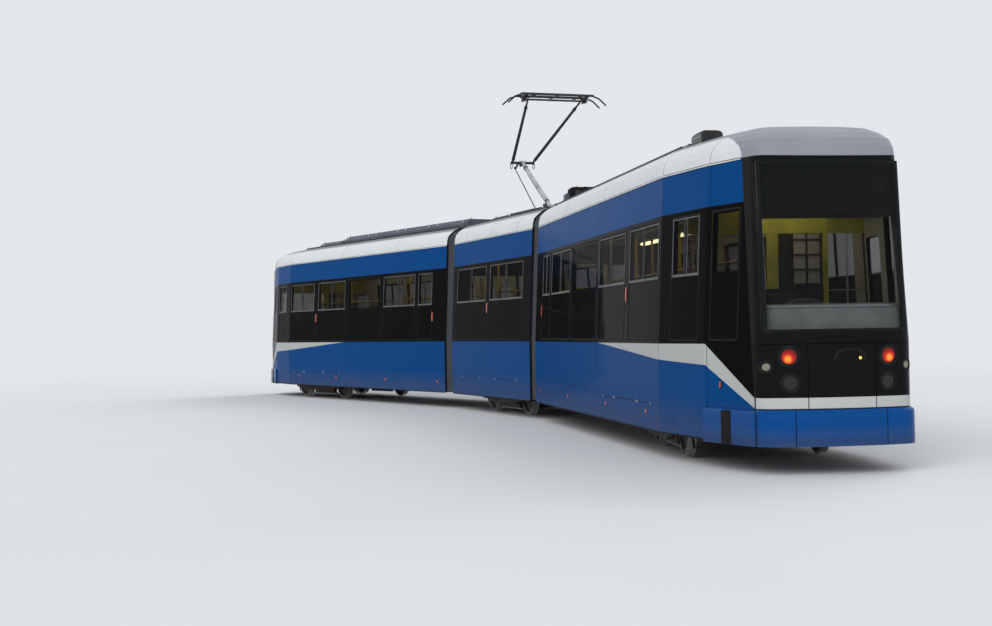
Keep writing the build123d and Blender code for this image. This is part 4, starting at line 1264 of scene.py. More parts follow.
def roof_fittings(section):
    """Curb strips, ribs, cables and vents of a roof; lids, louvres, latches and eyes of its housings."""
    parts = Shape()
    top_z = CANTRAIL + ROOF_RISE
    first, last = (-2.08, 2.08) if section is MIDDLE else (0.34, 7.9)
    curb = [(0.83, 3.422), (0.83, 3.45), (0.824, 3.456), (0.798, 3.456), (0.79, 3.45), (0.79, 3.43)]
    for side in (1, -1):
        for a, b in shares(first, last, ceil((last - first) / 1.9), 0.006):
            parts.prism(section, (a, b), curb, 0, side)
            for u in (a + 0.15, (a + b) / 2, b - 0.15):
                crate(parts, section, around(u, 0.02), (side * 0.79, side * 0.745), (3.43, 3.452), 2)
    for u in steps(first + 0.35, last - 0.35, ceil((last - first) / 0.9)):
        rib = [(u - 0.03, top_z - 0.004), (u - 0.02, top_z + 0.012), (u + 0.02, top_z + 0.012),
               (u + 0.03, top_z - 0.004)]
        if all(not (a - 0.1 < u < b + 0.1) for a, b, _, _ in HOUSINGS[section.car]):
            parts.loft([[section.at(x, v, z) for x, z in rib] for v in (-0.6, 0.6)], 1)
    for v in (-0.14, -0.1, 0.3):
        run = [section.at(u, v + 0.006 * sin(2.3 * u), top_z + 0.03) for u in steps(first, last, 40)]
        parts.tube(run, 0.013, 8, 0)
    for u in steps(first + 0.2, last - 0.2, 12):
        for a, b in ((-0.165, -0.075), (0.275, 0.325)):
            crate(parts, section, around(u, 0.012), (a, b), (top_z, top_z + 0.045), 2)
    for start, end, half, top in HOUSINGS[section.car]:
        if top > RAISED_HEAD:
            continue
        for a, b in shares(start, end, max(1, round((end - start) / 1.45)), 0.012):
            lid = round_rect(a, b, 0.07 - half, half - 0.07, 0.03, 3)
            inner = round_rect(a + 0.02, b - 0.02, 0.09 - half, half - 0.09, 0.02, 3)
            levels = ((lid, top - 0.003), (lid, top + 0.01), (inner, top + 0.016))
            parts.loft([[section.at(u, v, z) for u, v in loop] for loop, z in levels], 1)
            for u in steps(a + 0.08, b - 0.08, 3):
                for v in (0.11 - half, half - 0.11):
                    parts.lathe(section.at(u, v, top + 0.014), UP, [(0, 0.013), (0.006, 0.013), (0.009, 0.006)], 8, 2)
            for side in (1, -1):
                edge = side * (half - 0.03)
                for u in (a + 0.18, b - 0.18):
                    crate(parts, section, around(u, 0.035), (edge - side * 0.02, edge + side * 0.02),
                          (top - 0.045, top - 0.008), 2)
                span = (a + 0.1, b - 0.1)
                louvre(parts, section, span, half, side, (top_z + 0.01, top - 0.07), 2, 1)
        for u in (start + 0.04, end - 0.04):
            for side in (1, -1):
                spot = section.at(u, side * (half - 0.12), top + 0.026)
                forward = section.at(1, 0, 0) - section.at(0, 0, 0)
                ring = [spot + forward * a + Vector((0, 0, b)) for a, b in circle(0, 0, 0.024, 14)]
                parts.tube(ring, 0.005, 6, 2, ring=True)
        for u, side in ((start, -1), (end, 1)):
            inner = half - 0.12
            rows = [(-inner, top_z + 0.02), (inner, top_z + 0.02), (inner, top - 0.09), (-inner, top - 0.09)]
            parts.prism(section, [u + side * d for d in (-0.004, 0.008)], rows, 1)
    if section is REAR:
        for u in (1.3, 2.6):
            hat = [(0, 0.16), (0.03, 0.16), (0.04, 0.15), (0.045, 0.09), (0.075, 0.09), (0.08, 0.2), (0.1, 0.19),
                   (0.118, 0.1), (0.12, 0.02)]
            parts.lathe(section.at(u, 0.0, top_z - 0.002), UP, hat, 32, 1)
    parts.build(f"{section.car}_roof_fittings", [dark_steel(), gear_coat(), bare_metal()], section.body,
                "roof_gear_grey", bevel=0.002)


def roof_box(shape, section, us, vs, top, mark=0):
    """Roof housing with its upper edges folded over."""
    (a, b), (v0, v1) = us, vs
    outline = [(v0, 3.445), (v1, 3.445), (v1, top - 0.03), (v1 - 0.03, top), (v0 + 0.03, top), (v0, top - 0.03)]
    shape.prism(section, (a, b), outline, mark)


# Housings of the rear roof: (from, to, across from, across to, top)
REAR_BOXES = [(4.2, 5.6, -0.5, 0.5, 3.6), (6.3, 7.0, -0.5, 0.5, 3.6), (7.1, 7.5, -0.21, 0.21, 3.57),
              (7.1, 7.5, 0.21, 0.47, 3.69), (7.1, 7.5, -0.47, -0.21, 3.69)]


def rear_roof_boxes():
    """Housings on the rear roof, the last one with its two raised heads, and the cabinet beside the joint."""
    boxes = Shape()
    for a, b, v0, v1, top in REAR_BOXES:
        roof_box(boxes, REAR, (a, b), (v0, v1), top, 1 if top > RAISED_HEAD else 0)
    for side in (1, -1):
        lid = round_rect(7.13, 7.47, side * 0.34 - 0.09, side * 0.34 + 0.09, 0.02, 3)
        boxes.loft([[REAR.at(u, v, z) for u, v in lid] for z in (3.688, 3.7)], 1)
        louvre(boxes, REAR, (7.14, 7.46), 0.47, side, (3.5, 3.64), 4, 2)
        crate(boxes, REAR, (7.1, 7.5), (side * 0.468, side * 0.474), (3.48, 3.655), 2)
    piece = boxes.build("rear_roof_boxes", [gear_coat(), dark_steel(), ledge_grey()], REAR.body, "roof_gear_grey",
                        bevel=0.004)
    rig.replaces(piece, "rear_roof_gear")
    cabinet = Shape()
    roof_box(cabinet, REAR, (0.46, 0.72), (-0.66, 0.66), 3.69, 0)
    for side in (1, -1):
        roof_box(cabinet, REAR, (0.48, 0.66), (side * 0.7 - 0.035, side * 0.7 + 0.035), 3.6, 1)
        for k in range(4):
            v = side * (0.12 + 0.14 * k)
            crate(cabinet, REAR, (0.72, 0.727), around(v, 0.05), (3.5, 3.64), 2)
            cabinet.lathe(REAR.at(0.59, v, 3.689), UP, [(0, 0.03), (0.012, 0.03), (0.018, 0.02)], 16, 2)
    cabinet.build("rear_roof_cabinet", [rubber(), gear_coat(), dark_steel()], REAR.body, "roof_gear_grey", bevel=0.003)


# Pantograph

# Pivots of the arms, and the length and rise of each arm
MAST = Vector((-0.05, 0.0, 3.64))
LOWER, LOWER_RISE = 1.678, radians(33.3)
UPPER, UPPER_RISE = 1.936, radians(28.4)
KNEE = MAST + Vector((LOWER * cos(LOWER_RISE), 0, LOWER * sin(LOWER_RISE)))
HEAD = KNEE + Vector((-UPPER * cos(UPPER_RISE), 0, UPPER * sin(UPPER_RISE)))


def coil(start, end, radius, wire, turns):
    """Path of a helical spring between two points."""
    start, end = Vector(start), Vector(end)
    axis = (end - start).normalized()
    first = axis.orthogonal().normalized()
    second = axis.cross(first)
    count = int(turns * 12)
    turns = [2 * pi * k / 12 for k in range(count + 1)]
    return [start.lerp(end, k / count) + (first * cos(turn) + second * sin(turn)) * (radius - wire)
            for k, turn in enumerate(turns)]


def base_fittings():
    """Insulator sheds, springs and the cable of the base."""
    base = Shape()
    for x in (-0.25, 0.85):
        for y in (-0.4, 0.4):
            sheds = [(0.0, 0.05), (0.006, 0.078), (0.012, 0.078), (0.02, 0.05), (0.026, 0.05), (0.032, 0.074),
                     (0.038, 0.074), (0.046, 0.05), (0.058, 0.05)]
            base.lathe((x, y, 3.462), UP, sheds, 28, 0)
            for dx, dy in ((0.05, 0.05), (-0.05, 0.05), (0.05, -0.05), (-0.05, -0.05)):
                base.lathe((x + dx * 0.3, y + dy * 0.3, 3.568), UP, [(0, 0.008), (0.007, 0.008), (0.009, 0.005)], 8, 2)
    for y in (-0.165, 0.165):
        base.tube(coil((0.0, y, 3.602), (0.36, y, 3.602), 0.024, 0.005, 20), 0.005, 6, 1)
        for a, b in ((-0.06, 0.004), (0.356, 0.42)):
            crate(base, MIDDLE, (a, b), around(y, 0.012), (3.566, 3.622), 1)
            base.lathe(((a + b) / 2, y - 0.016, 3.602), (0, 1, 0), [(0, 0.01), (0.032, 0.01)], 12, 2)
    run = [Vector((-0.3 - 0.3 * t, 0.3, 3.56 - 0.075 * (3 * t * t - 2 * t**3))) for t in steps(0, 1, 12)]
    base.tube(run, 0.012, 8, 0)
    base.build("pantograph_base_fittings", [rubber(), dark_steel(), bare_metal()], "middle_car", "pantograph_black",
               bevel=0.0015)


def lower_fittings():
    """Sleeve, cable and knee plates of the lower arm."""
    lower = Shape()
    along = (KNEE - MAST).normalized()
    sleeve = [(0.2, 0.034), (0.215, 0.041), (0.26, 0.042), (1.4, 0.04), (1.44, 0.034)]
    lower.lathe(MAST, along, sleeve, 24, 0)
    under = along.cross(ACROSS).normalized()
    if under.z > 0:
        under = -under
    cable = [MAST + along * t + under * (0.05 + 0.012 * sin(pi * t / 1.6)) for t in steps(0.3, 1.5, 16)]
    lower.tube(cable, 0.007, 8, 1)
    for t in (0.17, 1.47):
        lower.lathe(MAST + along * (t - 0.012), along, [(0, 0.045), (0.024, 0.045)], 20, 1)
    plate = [(-0.075, 0.018), (0.045, 0.018), (0.035, -0.055), (-0.02, -0.085), (-0.06, -0.06)]
    for y in (-0.052, 0.044):
        lower.loft([[KNEE + Vector((a, y + d, b)) for a, b in plate] for d in (0, 0.008)], 1)
    lower.lathe(KNEE + Vector((-0.015, -0.055, -0.055)), ACROSS, [(0, 0.012), (0.11, 0.012)], 12, 1)
    lower.build("pantograph_lower_fittings", [arm_grey(), arm_black()], "pantograph_lower_arm", "pantograph_grey",
                bevel=0.001)


def upper_fittings():
    """Sleeves, shunts and pivot caps of the upper arm."""
    upper = Shape()
    for side in (1, -1):
        foot = KNEE + Vector((0, side * 0.2, 0))
        end = HEAD + Vector((0, side * 0.5, 0))
        way = (end - foot).normalized()
        upper.lathe(foot, way, [(0.07, 0.018), (0.1, 0.03), (0.9, 0.028), (1.75, 0.024), (1.79, 0.018)], 18, 0)
        for t in (0.12, 1.7):
            upper.lathe(foot + way * t, way, [(0, 0.032), (0.022, 0.032)], 16, 0)
        loop = [KNEE + Vector((0.055 * cos(a), side * 0.222, -0.058 + 0.055 * sin(a)))
                for a in steps(radians(100), radians(440), 20)]
        upper.tube(loop, 0.006, 6, 1)
        upper.lathe(KNEE + Vector((0, side * 0.208, 0)), ACROSS, [(0, 0.033), (side * 0.014, 0.033)], 20, 0)
        upper.lathe(HEAD + Vector((0, side * 0.585, 0)), ACROSS, [(0, 0.026), (side * 0.01, 0.026)], 16, 0)
    upper.build("pantograph_upper_fittings", [arm_black(), rubber()], "pantograph_upper_arm", "pantograph_black",
                bevel=0.001)


def head_fittings():
    """Clamps and springs under the contact strips."""
    top = Shape()
    for s in (1, -1):
        x = HEAD.x + s * 0.15
        for v in (-0.44, 0.0, 0.44):
            crate(top, MIDDLE, around(x, 0.034), around(v, 0.03), (HEAD.z + 0.05, HEAD.z + 0.066), 0)
        for v in (-0.66, 0.66):
            crate(top, MIDDLE, around(x, 0.033), around(v, 0.018), (HEAD.z + 0.062, HEAD.z + 0.094), 0)
        for side in (1, -1):
            spot = Vector((HEAD.x + s * 0.1, side * 0.571, HEAD.z))
            top.tube(coil(spot + Vector((0, 0, -0.022)), spot + Vector((0, 0, 0.042)), 0.016, 0.003, 5), 0.003, 6, 0)
            crate(top, MIDDLE, (HEAD.x + s * 0.04, HEAD.x + s * 0.12), (side * 0.556, side * 0.586),
                  (HEAD.z - 0.032, HEAD.z - 0.022), 0)
    top.build("pantograph_head_fittings", [arm_black()], "pantograph_head", "pantograph_black",
              bevel=0.001)


# Running gear


class Bogie:
    """Frame of reference of a bogie: along it, across it, and up."""

    def __init__(self, section):
        self.section = section
        self.low = section is MIDDLE
        self.turn = 0.0 if self.low else BOGIE_YAW
        self.station = 0.0 if self.low else BOGIE

    def at(self, a, b, z):
        """Place in the frame of a point of this bogie."""
        c, s = cos(self.turn), sin(self.turn)
        return self.section.at(self.station + a * c - b * s, a * s + b * c, z)

    def across(self):
        """Direction of the axles."""
        return self.at(0, 1, 0) - self.at(0, 0, 0)


def axle_end(gear, bogie, side, end):
    """Axle-box cover with its bolts, coil spring, damper and bracket at one end of an axle."""
    out = bogie.across() * side
    centre = bogie.at(end * AXLE, side * 0.957, WHEEL_Z)
    gear.lathe(centre, out, [(0, 0.074), (0.008, 0.074), (0.011, 0.066), (0.011, 0.03), (0.013, 0.026)], 28, 0)
    for a, z in circle(end * AXLE, WHEEL_Z, 0.058, 6):
        gear.lathe(bogie.at(a, side * 0.965, z), out, [(0, 0.009), (0.007, 0.009), (0.009, 0.006)], 6, 2)
    spring = bogie.at(end * 0.22, side * 0.915, 0.33)
    height = 0.13 if bogie.low else 0.27
    gear.tube(coil(spring, spring + Vector((0, 0, height)), 0.064, 0.011, 3.5 if bogie.low else 6), 0.011, 8, 1)
    gear.lathe(spring, UP, [(0, 0.07), (0.012, 0.07), (0.014, 0.03)], 24, 0)
    gear.lathe(spring + Vector((0, 0, height)), UP, [(-0.002, 0.03), (0, 0.07), (0.012, 0.07)], 24, 0)
    gear.lathe(spring, UP, [(0, 0.03), (height, 0.03)], 16, 3)
    foot = bogie.at(end * 0.62, side * 0.925, 0.36)
    if not bogie.low:
        top = bogie.at(end * 0.36, side * 0.925, 0.6)
        gear.lathe(foot, top - foot, [(0, 0.024), (0.2, 0.024), (0.205, 0.014), (0.33, 0.014)], 14, 0)
        gear.lathe(foot - out * 0.03, out, [(0, 0.02), (0.06, 0.02)], 14, 0)
    crate(gear, bogie, (end * 0.56, end * 0.7), (side * 0.88, side * 0.95), (0.355, 0.372), 0)


def motors(gear, bogie):
    """Cooling ribs, end covers and cables of the two motors."""
    for s in (1, -1):
        rib = [(0, 0.17), (0.002, 0.183), (0.012, 0.183), (0.014, 0.17)]
        for b in steps(-0.27, 0.27, 9):
            gear.lathe(bogie.at(s * 0.4, b - 0.007, 0.33), bogie.across(), rib, 36, 0)
        spot = bogie.at(s * 0.4, s * 0.46, 0.33)
        gear.lathe(spot, bogie.across() * s, [(0, 0.12), (0.012, 0.12), (0.018, 0.06)], 24, 0)
        pipe = [bogie.at(s * x, 0.1, z) for x, z in ((0.24, 0.43), (0.3, 0.49), (0.4, 0.53), (0.46, 0.52),
                                                     (0.48, 0.49))]
        gear.tube(pipe, 0.016, 8, 3)


def sanding_pipes(gear, bogie):
    """Sanding pipes in front of the leading wheels."""
    for side in (1, -1):
        pipe = [bogie.at(x, side * y, z) for x, y, z in ((0.98, 0.9, 0.37), (1.1, 0.89, 0.42), (1.24, 0.83, 0.38),
                                                        (1.285, 0.765, 0.28), (1.28, 0.745, 0.1))]
        gear.tube(pipe, 0.014, 10, 3)
        crate(gear, bogie, (0.95, 1.01), (side * 0.88, side * 0.93), (0.365, 0.385), 0)


def track_brakes(gear, bogie):
    """Pole pieces and hanger springs of the track brakes."""
    for side in (1, -1):
        for k in range(7):
            a = -0.42 + 0.14 * k
            crate(gear, bogie, around(a, 0.055), (side * 0.722, side * 0.778), (0.068, 0.084), 2)
        for a in (-0.3, 0.3):
            spot = bogie.at(a, side * 0.75, 0.175)
            gear.tube(coil(spot, spot + Vector((0, 0, 0.05)), 0.02, 0.004, 3), 0.004, 6, 1)


def bogie_fittings(section):
    """Axle-box covers, coil springs, dampers, motor ribs, hoses and sanding pipes of one bogie."""
    gear = Shape()
    bogie = Bogie(section)
    for side in (1, -1):
        for end in (1, -1):
            axle_end(gear, bogie, side, end)
        hose = [bogie.at(a, side * (0.885 + 0.004 * sin(9 * a)), 0.345 + 0.035 * abs(a))
                for a in steps(-0.75, 0.75, 24)]
        gear.tube(hose, 0.01, 8, 3)
        for a in (-0.6, -0.45, 0.45, 0.6):
            crate(gear, bogie, around(a, 0.01), (side * 0.87, side * 0.9), (0.34, 0.385), 0)
    if not bogie.low:
        motors(gear, bogie)
        sanding_pipes(gear, bogie)
    track_brakes(gear, bogie)
    gear.build(f"{section.car}_bogie_fittings", [frame_steel(), dark_steel(), bare_metal(), rubber()],
               f"{section.car}_bogie", "bogie_steel", bevel=0.002)


def wheel_fittings(section):
    """Hub rings and bolts outside the wheels, and the brake discs on the driven axles."""
    bogie = Bogie(section)
    for end, name in ((1, "outer"), (-1, "inner")):
        pieces = Shape()
        for side in (1, -1):
            if section is MIDDLE:
                pieces = Shape()
            out = bogie.across() * side
            pieces.lathe(bogie.at(end * AXLE, side * 0.794, WHEEL_Z), out,
                         [(0, 0.09), (0.008, 0.09), (0.012, 0.084), (0.012, 0.062), (0.004, 0.06)], 32, 0)
            for a, z in circle(end * AXLE, WHEEL_Z, 0.074, 8):
                pieces.lathe(bogie.at(a, side * 0.804, z), out, [(0, 0.008), (0.007, 0.008), (0.009, 0.005)], 6, 1)
            for a, z in circle(end * AXLE, WHEEL_Z, 0.262, 5, 0.3):
                pieces.lathe(bogie.at(a, side * 0.794, z), out, [(0, 0.011), (0.005, 0.011), (0.007, 0.006)], 8, 1)
            if section is MIDDLE:
                wheel = f"middle_{'front' if end > 0 else 'rear'}_{'left' if side > 0 else 'right'}_wheel"
                pieces.build(f"{wheel}_hub", [dark_steel(), bare_metal()], wheel, "wheel_steel", bevel=0.001)
        if section is not MIDDLE:
            disc = [(-0.03, 0.1), (-0.03, 0.205), (-0.012, 0.205), (-0.01, 0.12), (0.01, 0.12), (0.012, 0.205),
                    (0.03, 0.205), (0.03, 0.1)]
            pieces.lathe(bogie.at(end * AXLE, -end * 0.42, WHEEL_Z), bogie.across(), disc, 40, 1)
            for vane in zip(*(circle(end * AXLE, WHEEL_Z, radius, 24) for radius in (0.13, 0.195))):
                pieces.tube([bogie.at(a, -end * 0.42, z) for a, z in vane], 0.011, 6, 0)
            pieces.build(f"{section.car}_{name}_hubs", [dark_steel(), bare_metal()], f"{section.car}_{name}_wheelset",
                         "wheel_steel", bevel=0.001)


# Inside


@cache
def partition_glass():
    """Clear pane of the cab wall with a faint film."""
    f = Finish("partition_glass", rgb(60, 64, 62), 0.04, specular_ior_level=0.4)
    film = f.noise(4.0, 3.0)
    f.set("Alpha", film * 0.08 + 0.2)
    f.set("Roughness", 0.04 + film * 0.03)
    return f.bump(f.noise(1.2, 1.0), 0.003)


@cache
def frosted_pane():
    """Small pale panes of the cab door."""
    f = Finish("frosted_pane", rgb(176, 172, 164), 0.5, specular_ior_level=0.2)
    film = f.noise(7.0, 3.0)
    f.set("Alpha", film * 0.1 + 0.8)
    f.set("Base Color", f.mix(film, rgb(186, 182, 174), rgb(150, 147, 140)))
    return f.bump(f.noise(200.0, 2.0), 0.0004)


@cache
def chair_cloth():
    """Dark plain cloth."""
    f = Finish("chair_cloth", roughness=0.9, sheen_weight=0.2)
    x, y, z = f.place()
    weave = (x * 2400.0 + z * 1800.0).wave() * (y * 2400.0).wave()
    f.set("Base Color", f.mix(weave, rgb(32, 34, 40), rgb(52, 54, 60)))
    return f.bump(weave, 0.0006)


# Poles: (along, across, foot)
POLES = {"end": [(1.6, 0.22, FLOOR), (3.21, 0.22, FLOOR), (5.0, 0.22, FLOOR), (6.72, 0.22, RAISED_FLOOR),
                 (8.52, 0.22, RAISED_FLOOR), (1.6, -0.42, FLOOR), (3.21, -0.42, FLOOR), (5.0, -0.42, FLOOR)],
         "middle": [(x, side * 0.46, FLOOR) for side in (1, -1) for x in (-1.5, 0.0, 1.5)]}


def cabin(section):
    """Ceiling lights, air duct, pole sockets, stop buttons, straps and heater covers."""
    fit = Shape()
    low = section is MIDDLE
    first, last = (-2.0, 2.0) if low else (0.42, 8.34)
    lens = [(-0.06, LINING), (-0.052, 2.776), (-0.03, 2.764), (0.03, 2.764), (0.052, 2.776), (0.06, LINING)]
    for side in (1, -1):
        v0 = side * 0.58
        for a, b in shares(first, last, 3 if low else 6, 0.01):
            fit.prism(section, (a, b), [(v0 + v, z) for v, z in lens], 0)
            cap = [(v0 + v * 1.08, z - (0.004 if z < 2.79 else 0)) for v, z in lens]
            for u in (a - 0.008, b - 0.004):
                fit.prism(section, (u, u + 0.012), cap, 1)
        if low:
            for u in steps(first + 0.3, last - 0.3, 5):
                fit.tube([section.at(u, side * 0.36, z) for z in (CEILING, 2.66)], 0.009, 6, 3)
    duct = [(-0.32, LINING), (-0.3, 2.772), (-0.02, 2.762), (0.12, 2.772), (0.14, LINING)]
    fit.prism(section, (first, last), duct, 1)
    for u in steps(first + 0.1, last - 0.1, ceil((last - first) / 0.16)):
        crate(fit, section, around(u, 0.03), (-0.2, 0.03), (2.758, 2.772), 1)
    for u, v, foot in POLES[section.kind]:
        collar = [(0, 0.034), (0.014, 0.034), (0.018, 0.028), (0.03, 0.021)]
        fit.lathe(section.at(u, v, foot), UP, collar, 20, 2)
        fit.lathe(section.at(u, v, LINING), (0, 0, -1), collar, 20, 2)
        fit.lathe(section.at(u, v, 2.12), UP, [(0, 0.019), (0.004, 0.026), (0.056, 0.026), (0.06, 0.019)], 18, 2)
        for turn in (1, -1):
            body = round_rect(-0.022, 0.022, foot + 0.93, foot + 1.03, 0.01, 3)
            fit.loft([[section.at(u + turn * d, v + y, z) for y, z in body] for d in (0.012, 0.034)], 2)
            fit.lathe(section.at(u + turn * 0.033, v, foot + 0.99), section.at(turn, 0, 0) - section.at(0, 0, 0),
                      [(0, 0.016), (0.006, 0.015), (0.008, 0.009)], 16, 4)
    if not low:
        for side in (1, -1):
            spans = ((0.9, 1.5), (3.3, 4.8), (5.75, 8.1)) if side < 0 else ((0.9, 4.8), (5.75, 8.1))
            for a, b in spans:
                foot = FLOOR if b < 5.5 else RAISED_FLOOR
                guard = [(1.137, foot + 0.04), (1.09, foot + 0.05), (1.085, foot + 0.19), (1.137, foot + 0.22)]
                fit.prism(section, (a, b), guard, 1, side)
                for u in steps(a + 0.06, b - 0.06, ceil((b - a) / 0.12)):
                    crate(fit, section, around(u, 0.04), (side * 1.078, side * 1.09), (foot + 0.1, foot + 0.112), 2)
    fit.build(f"{section.car}_cabin_fittings", [glow_strip(), cabin_panel(), bare_metal(), rubber(), red_plastic()],
              section.body, "desk_black", bevel=0.0015)


def wall_v(u, z):
    """Distance from the middle to the inner face of the wall."""
    return side_v(u, z, -WALL) - 0.004


def bulkhead(shape, section, span, edges, heights, mark):
    """Upright sheet across the cab; an edge of None follows the wall."""
    rows = []
    z0, z1 = heights
    for z in [z0] + [WAIST] * (z0 < WAIST < z1) + [z1]:
        loop = []
        for u, order in ((span[0], 1), (span[1], -1)):
            ends = [edge if edge is not None else (1 if i else -1) * wall_v(u, z) for i, edge in enumerate(edges)]
            loop.extend(section.at(u, v, z) for v in ends[::order])
        rows.append(loop)
    shape.loft(rows, mark)


# Stations of the wall behind the driver and of its panes, heights of the panes and of the small ones in its door
CAB_WALL = (8.64, 8.665)
CAB_PANE = (8.65, 8.655)
CAB_SILL = 1.5
CAB_HEAD = 2.42
CAB_DOOR_FOOT = 1.87
# Station of the driver's chair
CHAIR = 9.08


def cab_wall(section):
    """Wall behind the driver with its glazed door."""
    wall = Shape()
    span = CAB_WALL
    pane = (CAB_SILL, CAB_HEAD)
    bulkhead(wall, section, span, (None, None), (RAISED_FLOOR + 0.001, CAB_SILL), 0)
    bulkhead(wall, section, span, (None, None), (CAB_HEAD, CEILING - 0.002), 1)
    bulkhead(wall, section, CAB_PANE, (0.1, None), pane, 2)
    bulkhead(wall, section, CAB_PANE, (None, -0.58), pane, 2)
    crate(wall, section, span, (-0.03, 0.1), pane, 1)
    crate(wall, section, span, (-0.19, -0.03), pane, 3)
    crate(wall, section, span, (-0.53, -0.19), (CAB_SILL, CAB_DOOR_FOOT), 3)
    crate(wall, section, (8.65, 8.656), (-0.51, -0.19), (CAB_DOOR_FOOT, CAB_HEAD), 5)
    for v in (-0.52, -0.36, -0.2):
        crate(wall, section, (8.64, 8.672), (v, v + 0.02), (CAB_DOOR_FOOT, CAB_HEAD), 3)
    for z in (1.86, 2.02, 2.18, 2.345):
        crate(wall, section, (8.64, 8.67), (-0.52, -0.18), (z, z + 0.018), 3)
    crate(wall, section, (8.625, 8.68), (-0.585, -0.53), (RAISED_FLOOR + 0.001, CEILING - 0.002), 1)
    wall.tube([section.at(8.68, -0.8, z) for z in pane], 0.011, 8, 4)
    wall.tube([section.at(8.68, v, 1.8) for v in (-0.585, -0.98)], 0.009, 8, 4)
    for v in (-0.45, 0.42):
        crate(wall, section, (8.664, 8.668), (v, v + 0.006), (RAISED_FLOOR + 0.02, CAB_SILL), 3)
    crate(wall, section, (8.664, 8.69), (0.3, 0.38), (1.2, 1.225), 4)
    crate(wall, section, (8.9, 9.02), (-0.5, 0.5), (2.772, 2.797), 6)
    wall.build(f"{section.car}_cab_wall",
               [desk_plastic(), cab_yellow(), partition_glass(), dark_steel(), bare_metal(), frosted_pane(),
                glow_strip()], section.body, "desk_black", bevel=0.002)


def cab_fittings(section):
    """The driver's chair, and the switches and lever on the desk."""
    chair = Shape()
    chair.lathe(section.at(CHAIR, 0, RAISED_FLOOR), UP,
                [(0, 0.2), (0.02, 0.2), (0.05, 0.1), (0.06, 0.07), (0.26, 0.07), (0.28, 0.13), (0.33, 0.16),
                 (0.34, 0.16)], 28, 0)
    for k in range(5):
        fold = section.at(CHAIR, 0, RAISED_FLOOR + 0.08 + 0.036 * k)
        chair.lathe(fold, UP, [(0, 0.07), (0.018, 0.1), (0.036, 0.07)], 24, 1)
    back = [(8.83, 1.1), (8.8, CAB_SILL), (8.77, 1.82), (8.75, 1.82), (8.775, CAB_SILL), (8.79, 1.08)]
    chair.loft([[section.at(u, v, z) for u, z in back] for v in (-0.2, 0.2)], 0)
    crate(chair, section, (8.83, 9.3), (-0.21, 0.21), (1.06, 1.09), 0)
    for side in (1, -1):
        arm = [section.at(u, side * 0.28, z) for u, z in ((8.84, 1.3), (8.9, 1.31), (9.1, 1.32), (9.16, 1.32))]
        chair.tube(arm, [0.02, 0.026, 0.026, 0.02], 12, 1)
        crate(chair, section, (8.84, 8.88), (side * 0.2, side * 0.285), (1.28, 1.3), 0)
    for k, v in enumerate(steps(-0.5, 0.5, 10)):
        u = 9.6 + 0.05 * (k % 2)
        z = 1.4 - (u - 9.5) * 0.23
        chair.lathe(section.at(u, v, z - 0.01), UP, [(0, 0.016), (0.02, 0.016), (0.026, 0.01)], 14, 2)
    lever = section.at(9.62, -0.56, 1.37)
    chair.tube([lever, lever + Vector((0, 0, 0.09))], 0.008, 8, 2)
    chair.lathe(lever + Vector((0, 0, 0.085)), UP, [(0, 0.01), (0.01, 0.021), (0.03, 0.021), (0.04, 0.01)], 16, 1)
    chair.build(f"{section.car}_cab_fittings", [dark_steel(), rubber(), bare_metal()], section.body, "desk_black",
                bevel=0.003)


# Cushions


@cache
def moquette():
    """Woven seat cloth: fine dark and light threads in small broken squares, worn paler in patches."""
    f = Finish("seat_moquette", roughness=0.9, sheen_weight=0.25)
    x, y, z = f.place()
    weave = (x * 2600.0 + z * 1900.0).wave() * (y * 2600.0 + z * 900.0).wave()
    squares = ((x * 70.0 + z * 48.0).wave() > 0.72) * ((y * 70.0).wave() > 0.62)
    colour = f.mix(weave, rgb(30, 44, 92), rgb(44, 62, 118))
    colour = f.mix(squares * 0.8, colour, rgb(176, 150, 52))
    colour = f.mix(f.noise(3.0, 3.0).rise(0.45, 0.75) * 0.3, colour, rgb(84, 94, 124))
    return f.surface(colour, 0.84 + weave * 0.1, weave * 0.6 + f.noise(300.0, 2.0) * 0.4, 0.0008)


# How far a pad's sides bow inwards, how deep its seams lie, how far the cloth may move, and what blows it up
PULL = 0.03
SEAM = Vector((0, 0, 0.006))
GROWTH = 0.007
PRESSURE = 4.0
FRAMES = 20


@cache
def stuffed(half_a, half_b, depth, count=14):
    """Points and faces of a stuffed pad lying on its flat side, blown up as cloth and then sewn across."""
    top, under = [], []
    for i, a in enumerate(steps(-1, 1, count)):
        for k, b in enumerate(steps(-1, 1, count)):
            edge = max(abs(a), abs(b))
            x = a * half_a * (1 - PULL * (1 - b * b))
            y = b * half_b * (1 - PULL * (1 - a * a))
            crown = depth * (0.55 + 0.45 * (1 - a**4) * (1 - b**4)) * (1 - edge**12 * 0.45)
            top.append(Vector((x, y, crown)))
            under.append(Vector((x, y, 0.0)))
    n = count + 1
    faces = []
    for i in range(count):
        for k in range(count):
            corner = i * n + k
            faces.append((corner, corner + n, corner + n + 1, corner + 1))
            faces.append(tuple(n * n + c for c in (corner, corner + 1, corner + n + 1, corner + n)))
    rim = [i * n for i in range(n)] + [(n - 1) * n + k for k in range(1, n)]
    rim += [i * n + n - 1 for i in range(n - 2, -1, -1)] + [k for k in range(n - 2, 0, -1)]
    for a, b in zip(rim, rim[1:] + rim[:1]):
        faces.append((a, n * n + a, n * n + b, b))
    points = top + under
    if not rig.quick():
        points = blown(points, faces, GROWTH)
    for i in range(n):
        for k in range(n):
            if i in (n // 3, 2 * n // 3) and 1 < k < n - 2:
                points[i * n + k] -= SEAM
    return points, faces


